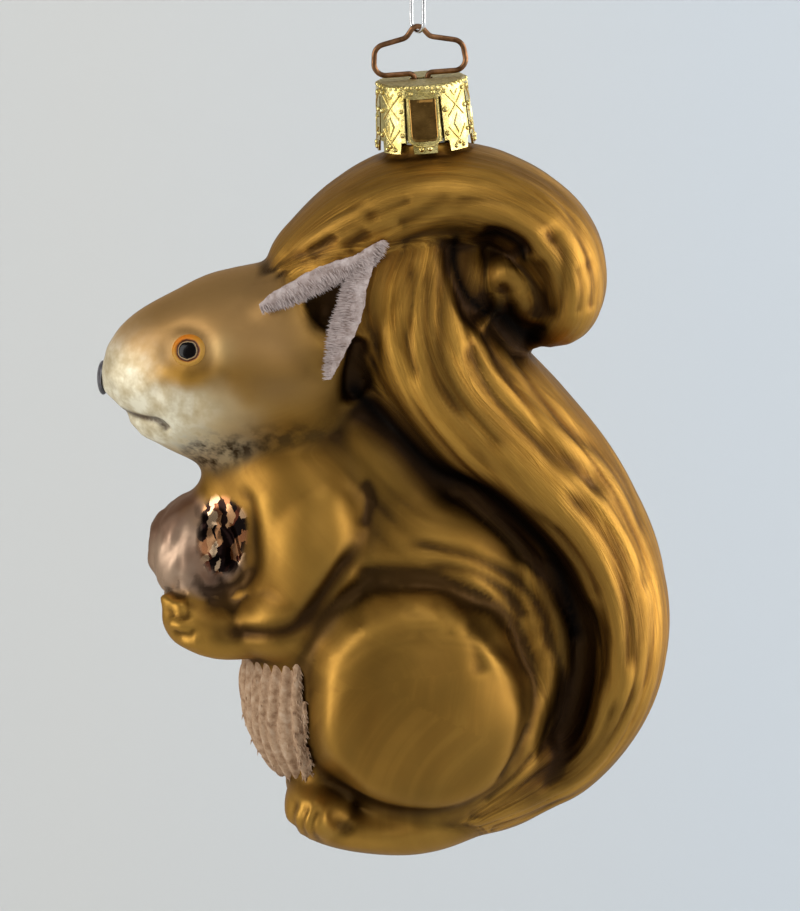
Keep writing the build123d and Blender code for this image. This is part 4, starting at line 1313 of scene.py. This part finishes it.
pad, spots = paste_pad("belly_frosting", 0.33, 0.05, 0.0)
ways = read_normals(pad)
rope_turn = spots[:, 0] / 2.0 + np.abs(spots[:, 1]) / 3.4
rope_turn += 0.55 * noise(spots[:, 2] / 5.0, rope_turn * 0.5, 151)
ropes = np.abs(np.cos(math.pi * rope_turn)) ** 0.7 - 0.55
crumbs = noise(spots[:, 0] / 0.7, spots[:, 2] / 0.9, 157)
write_points(pad, (spots + ways * (0.85 * ropes + 0.03 * crumbs)[:, None]) * MM)
down = np.tile((0.25, 0.0, -1.0), (len(spots), 1))
edge_part = fade((spots[:, 0] - LEFT) / WIDTH - 0.08 * (0.30 - (spots[:, 2] - BOTTOM) / HEIGHT), 0.335, 0.375)
finish_fleece("belly_frosting", pad, down, 0.015 + edge_part, belly_paste, Density=9e6, Length=0.0006,
              Thickness=0.00012, Lean=2.2, Disorder=0.55, Seed=9)

# %% [markdown]
# ## Eyes and nose
# Each eye is a drop of enamel inside a painted lid. It is drawn as rings round its
# middle: a domed pupil, a thin pale line, a groove and a raised lid, each laid on
# the glass below it by a ray, so that no ring floats or sinks.

# %% Eyes
from mathutils.bvhtree import BVHTree

EYE_WIDE, EYE_TALL = 2.25, 1.95
EYE_RINGS = [
    (0.0, 0.50), (0.15, 0.495), (0.30, 0.47), (0.42, 0.43), (0.50, 0.37), (0.55, 0.30),
    (0.59, 0.26), (0.64, 0.24), (0.69, 0.27), (0.74, 0.33), (0.80, 0.36), (0.87, 0.29),
    (0.94, 0.12), (1.0, -0.10), (1.06, -0.30),
]
EYE_SIDES = 72
skin_rays = BVHTree.FromObject(squirrel, bpy.context.evaluated_depsgraph_get())


def painted_eye(name):
    """Domed eye in rings over the middle of a packed enamel drop."""
    low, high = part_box(name)
    middle = (low + high) / 2
    outward = Vector((0, math.copysign(1, middle.y), 0))
    start = middle + outward * 0.01
    hit, lean, _, _ = skin_rays.ray_cast(start, -outward)
    outward = Vector((lean.x * 0.7, lean.y, lean.z * 0.7)).normalized()
    level = Vector((0, 0, 1)).cross(outward).normalized()
    upward = outward.cross(level)
    verts, faces, rings, highs = [], [], [], []
    for ring, (reach, rise) in enumerate(EYE_RINGS):
        sides = 1 if ring == 0 else EYE_SIDES
        for i in range(sides):
            turn = 2 * math.pi * i / sides
            place = hit + level * (reach * EYE_WIDE * MM * math.cos(turn))
            place += upward * (reach * EYE_TALL * MM * math.sin(turn))
            spot, _, _, _ = skin_rays.ray_cast(place + outward * 0.005, -outward)
            lid = 0.10 * max(math.sin(turn), 0) if reach > 0.68 else 0.0
            verts.append((spot or place) + outward * ((rise + lid) * MM))
            rings.append(reach)
            highs.append(math.sin(turn - 0.5))
    for ring in range(1, len(EYE_RINGS)):
        first = 1 + (ring - 1) * EYE_SIDES
        for i in range(EYE_SIDES):
            j = (i + 1) % EYE_SIDES
            if ring == 1:
                faces.append((0, first + i, first + j))
            else:
                back = first - EYE_SIDES
                faces.append((back + i, first + i, first + j, back + j))
    mesh = bpy.data.meshes.new(name + "_rings")
    mesh.from_pydata([v[:] for v in verts], [], faces)
    layer = mesh.attributes.new("ring", "FLOAT", "POINT")
    layer.data.foreach_set("value", rings)
    layer = mesh.attributes.new("high", "FLOAT", "POINT")
    layer.data.foreach_set("value", highs)
    mesh.shade_smooth()
    if mesh.polygons[0].normal.dot(outward) < 0:
        mesh.flip_normals()
    piece = link_piece("painted_" + name, mesh)
    piece.data.materials.append(eye_paint)
    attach(piece, "glass")
    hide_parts(name)


eye_paint, tree, shader = new_material("eye_paint")
spot = add_node(tree, "ShaderNodeTexCoord")
wobble = add_node(tree, "ShaderNodeTexNoise", Scale=1400.0, Detail=2.0)
tree.links.new(spot.outputs["Object"], wobble.inputs["Vector"])
shift = maths(tree, "MULTIPLY", maths(tree, "SUBTRACT", wobble.outputs["Fac"], 0.5), 0.16)
ring_place = maths(tree, "ADD", attribute(tree, "ring"), shift)
lid = ramp(tree, attribute(tree, "high"), [(0.0, (0.50, 0.26, 0.045)), (0.4, (0.55, 0.23, 0.02)), (1.0, (0.60, 0.17, 0.006))])
tone = ramp(tree, ring_place, [
    (0.0, (0.002, 0.001, 0.001)), (0.51, (0.002, 0.001, 0.001)), (0.535, (0.40, 0.30, 0.18)),
    (0.565, (0.36, 0.20, 0.08)), (0.60, (0.030, 0.008, 0.003)), (0.66, (0.09, 0.020, 0.005)),
    (0.70, (0.35, 0.12, 0.02)),
])
lid_part = ramp(tree, ring_place, [(0.68, (0, 0, 0)), (0.76, (1, 1, 1))])
tone = mix(tree, lid_part, tone, lid)
tree.links.new(tone, shader.inputs["Base Color"])
shine = add_node(tree, "ShaderNodeMapRange", From_Min=0.5, From_Max=0.7, To_Min=0.16, To_Max=0.42)
shader.inputs["Specular IOR Level"].default_value = 0.16
tree.links.new(ring_place, shine.inputs["Value"])
tree.links.new(shine.outputs["Result"], shader.inputs["Roughness"])
for name in ("eye_enamel_left", "eye_enamel_right"):
    painted_eye(name)

# %% Nose
nose_paint, tree, shader = new_material("nose_paint")
spot = add_node(tree, "ShaderNodeTexCoord")
brushed = add_node(tree, "ShaderNodeTexNoise", Scale=900.0, Detail=3.0, Roughness=0.6)
tree.links.new(spot.outputs["Object"], brushed.inputs["Vector"])
tone = ramp(tree, brushed.outputs["Fac"], [(0.35, (0.018, 0.016, 0.018)), (0.65, (0.10, 0.09, 0.10))])
tree.links.new(tone, shader.inputs["Base Color"])
shader.inputs["Roughness"].default_value = 0.34
dent = add_node(tree, "ShaderNodeBump", Strength=0.3, Distance=0.0001)
tree.links.new(brushed.outputs["Fac"], dent.inputs["Height"])
tree.links.new(dent.outputs["Normal"], shader.inputs["Normal"])
finish_node("nose_enamel", nose_paint)

# %% [markdown]
# ## Pressed pattern of the cap
# A die presses beads, crossed ridges and a long diamond into each tab of the cap.
# The places are listed once for one tab and turned round the cap's axis; Geometry
# Nodes then set a bead on each point and run a thin ridge along each line. The
# front tab has a plain polished panel inside a ridge, with beads at its corners.

# %% Places on the cap
CAP_WIDE_TOP, CAP_WIDE_FOOT, CAP_TALL, TABS, FRONT_TAB = 5.4, 5.9, 8.2, 8, 6


def on_cap(tab, side, drop, lift=0.0):
    """Place in metres on a tab: side and drop in mm from the middle of its top edge."""
    wide = CAP_WIDE_TOP + (CAP_WIDE_FOOT - CAP_WIDE_TOP) * drop / CAP_TALL
    turn = 2 * math.pi * tab / TABS + side / wide
    out = AXIS_SIDE * math.cos(turn) + Vector((0, 1, 0)) * math.sin(turn)
    return (CAP_TOP - AXIS_UP * drop + out * (wide + lift)) * MM


TAB_BEADS = [
    (-1.50, 0.95), (1.50, 1.00), (-1.62, 3.15), (1.62, 3.10), (-1.68, 6.05), (1.70, 6.00),
    (-0.62, 7.72), (0.62, 7.74), (0.0, 7.30),
]
FRONT_BEADS = [(-1.35, 0.95), (1.35, 0.90), (-0.50, 7.66), (0.50, 7.64)]
TAB_RIDGES = [
    [(-1.30, 1.35), (0.0, 2.75), (1.30, 4.1)], [(1.30, 1.35), (0.0, 2.75), (-1.30, 4.1)],
    [(-1.35, 5.35), (-0.2, 6.75), (0.55, 7.4)], [(1.35, 5.35), (0.2, 6.75), (-0.55, 7.4)],
    [(-0.55, 1.0), (0.0, 1.6), (0.55, 1.0)],
]
FRONT_RIDGES = [[(-1.80, 1.45), (-1.86, 6.75), (-1.0, 7.35), (1.0, 7.35), (1.86, 6.75), (1.80, 1.45),
                 (-1.80, 1.45)]]
bead_places, ridge_verts, ridge_edges = [], [], []
for tab in range(TABS):
    beads, ridges = (FRONT_BEADS, FRONT_RIDGES) if tab == FRONT_TAB else (TAB_BEADS, TAB_RIDGES)
    bead_places += [on_cap(tab, side, drop, -0.03) for side, drop in beads]
    for line in ridges:
        fine_line = smooth_line(line, 4) if tab != FRONT_TAB else np.array(line)
        first = len(ridge_verts)
        ridge_verts += [on_cap(tab, side, drop, 0.0) for side, drop in fine_line]
        ridge_edges += [(first + i, first + i + 1) for i in range(len(fine_line) - 1)]
crimp_count = 46
for i in range(crimp_count):
    tab = TABS * i / crimp_count
    bead_places.append(on_cap(tab, 0.0, 0.34 + 0.10 * math.sin(7.0 * i), -0.16))
print("beads:", len(bead_places), "ridge points:", len(ridge_verts))

# %% Bead and ridge trees
bead_tree, inside, outside = new_tree(
    "pressed_beads",
    [("Bead Radius", "NodeSocketFloat", 0.00028), ("Vary", "NodeSocketFloat", 0.25),
     ("Seed", "NodeSocketInt", 5), ("Finish", "NodeSocketMaterial", None)],
)
bead = add_node(bead_tree, "GeometryNodeMeshIcoSphere")
bead.inputs["Subdivisions"].default_value = 2
bead_tree.links.new(inside.outputs["Bead Radius"], bead.inputs["Radius"])
round_bead = add_node(bead_tree, "GeometryNodeSetShadeSmooth")
bead_tree.links.new(bead.outputs["Mesh"], round_bead.inputs["Geometry"])
vary = add_node(bead_tree, "FunctionNodeRandomValue", data_type="FLOAT")
bead_tree.links.new(maths(bead_tree, "SUBTRACT", 1.0, inside.outputs["Vary"]), vary.inputs[2])
bead_tree.links.new(inside.outputs["Seed"], vary.inputs["Seed"])
points_of = add_node(bead_tree, "GeometryNodeMeshToPoints")
bead_tree.links.new(inside.outputs["Pad"], points_of.inputs["Mesh"])
planted = add_node(bead_tree, "GeometryNodeInstanceOnPoints")
bead_tree.links.new(points_of.outputs["Points"], planted.inputs["Points"])
bead_tree.links.new(round_bead.outputs["Geometry"], planted.inputs["Instance"])
bead_tree.links.new(vary.outputs[1], planted.inputs["Scale"])
real = add_node(bead_tree, "GeometryNodeRealizeInstances")
bead_tree.links.new(planted.outputs["Instances"], real.inputs[0])
dressed = add_node(bead_tree, "GeometryNodeSetMaterial")
bead_tree.links.new(real.outputs[0], dressed.inputs["Geometry"])
bead_tree.links.new(inside.outputs["Finish"], dressed.inputs["Material"])
bead_tree.links.new(dressed.outputs[0], outside.inputs["Result"])

ridge_tree, inside, outside = new_tree(
    "pressed_ridges",
    [("Ridge Radius", "NodeSocketFloat", 0.00010), ("Finish", "NodeSocketMaterial", None)],
)
curve = add_node(ridge_tree, "GeometryNodeMeshToCurve")
ridge_tree.links.new(inside.outputs["Pad"], curve.inputs["Mesh"])
profile = add_node(ridge_tree, "GeometryNodeCurvePrimitiveCircle")
profile.inputs["Resolution"].default_value = 8
ridge_tree.links.new(inside.outputs["Ridge Radius"], profile.inputs["Radius"])
swept = add_node(ridge_tree, "GeometryNodeCurveToMesh")
swept.inputs["Fill Caps"].default_value = True
ridge_tree.links.new(curve.outputs["Curve"], swept.inputs["Curve"])
ridge_tree.links.new(profile.outputs["Curve"], swept.inputs["Profile Curve"])
real = add_node(ridge_tree, "GeometryNodeRealizeInstances")
ridge_tree.links.new(swept.outputs["Mesh"], real.inputs[0])
dressed = add_node(ridge_tree, "GeometryNodeSetMaterial")
ridge_tree.links.new(real.outputs[0], dressed.inputs["Geometry"])
ridge_tree.links.new(inside.outputs["Finish"], dressed.inputs["Material"])
ridge_tree.links.new(dressed.outputs[0], outside.inputs["Result"])

bead_mesh = bpy.data.meshes.new("cap_beads")
bead_mesh.from_pydata([v[:] for v in bead_places], [], [])
cap_beads = link_piece("cap_beads", bead_mesh)
grow(cap_beads, bead_tree, Bead_Radius=0.00036, Finish=pressed_brass)
ridge_mesh = bpy.data.meshes.new("cap_ridges")
ridge_mesh.from_pydata([v[:] for v in ridge_verts], ridge_edges, [])
cap_ridges = link_piece("cap_ridges", ridge_mesh)
grow(cap_ridges, ridge_tree, Ridge_Radius=0.00012, Finish=pressed_brass)

# %% Polished panel of the front tab
PANEL_STEPS, PANEL_ROWS = 12, 16
panel_verts, panel_faces = [], []
for row in range(PANEL_ROWS + 1):
    drop = 1.45 + (6.95 - 1.45) * row / PANEL_ROWS
    half = 1.78 if drop < 6.3 else 1.78 - 0.9 * (drop - 6.3)
    for step in range(PANEL_STEPS + 1):
        side = half * (2 * step / PANEL_STEPS - 1)
        edge_drop = 0.10 if step in (0, PANEL_STEPS) or row in (0, PANEL_ROWS) else 0.0
        panel_verts.append(on_cap(FRONT_TAB, side, drop, 0.04 - edge_drop))
for row in range(PANEL_ROWS):
    for step in range(PANEL_STEPS):
        first = row * (PANEL_STEPS + 1) + step
        panel_faces.append((first, first + PANEL_STEPS + 1, first + PANEL_STEPS + 2, first + 1))
panel_mesh = bpy.data.meshes.new("cap_panel")
panel_mesh.from_pydata([v[:] for v in panel_verts], [], panel_faces)
panel_mesh.shade_smooth()
cap_panel = link_piece("cap_panel", panel_mesh)
thick = cap_panel.modifiers.new("sheet", "SOLIDIFY")
thick.thickness, thick.offset = 0.00015, -1
panel_solid = plain_mesh(cap_panel)
cap_panel.modifiers.clear()
cap_panel.data = panel_solid
if panel_solid.polygons[0].normal.y > 0:
    panel_solid.flip_normals()
cap_panel.data.materials.append(panel_brass)

# %% Raised diamonds
DIAMOND = [(0.0, 3.55), (0.82, 5.0), (0.0, 6.5), (-0.82, 5.0)]
diamond_verts, diamond_faces = [], []
for tab in range(TABS):
    if tab == FRONT_TAB:
        continue
    first = len(diamond_verts)
    diamond_verts += [on_cap(tab, side, drop, -0.05) for side, drop in DIAMOND]
    diamond_verts += [on_cap(tab, side * 0.62, 5.0 + (drop - 5.0) * 0.7, 0.13) for side, drop in DIAMOND]
    for i in range(4):
        j = (i + 1) % 4
        diamond_faces.append((first + i, first + j, first + 4 + j, first + 4 + i))
    diamond_faces += [(first + 4, first + 5, first + 6, first + 7), (first + 3, first + 2, first + 1, first)]
diamond_mesh = bpy.data.meshes.new("cap_diamonds")
diamond_mesh.from_pydata([v[:] for v in diamond_verts], [], diamond_faces)
work = bmesh.new()
work.from_mesh(diamond_mesh)
bmesh.ops.recalc_face_normals(work, faces=work.faces)
work.to_mesh(diamond_mesh)
work.free()
cap_diamonds = link_piece("cap_diamonds", diamond_mesh)
cap_diamonds.data.materials.append(pressed_brass)
for piece in (cap_beads, cap_ridges, cap_diamonds, cap_panel):
    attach(piece, "cap")
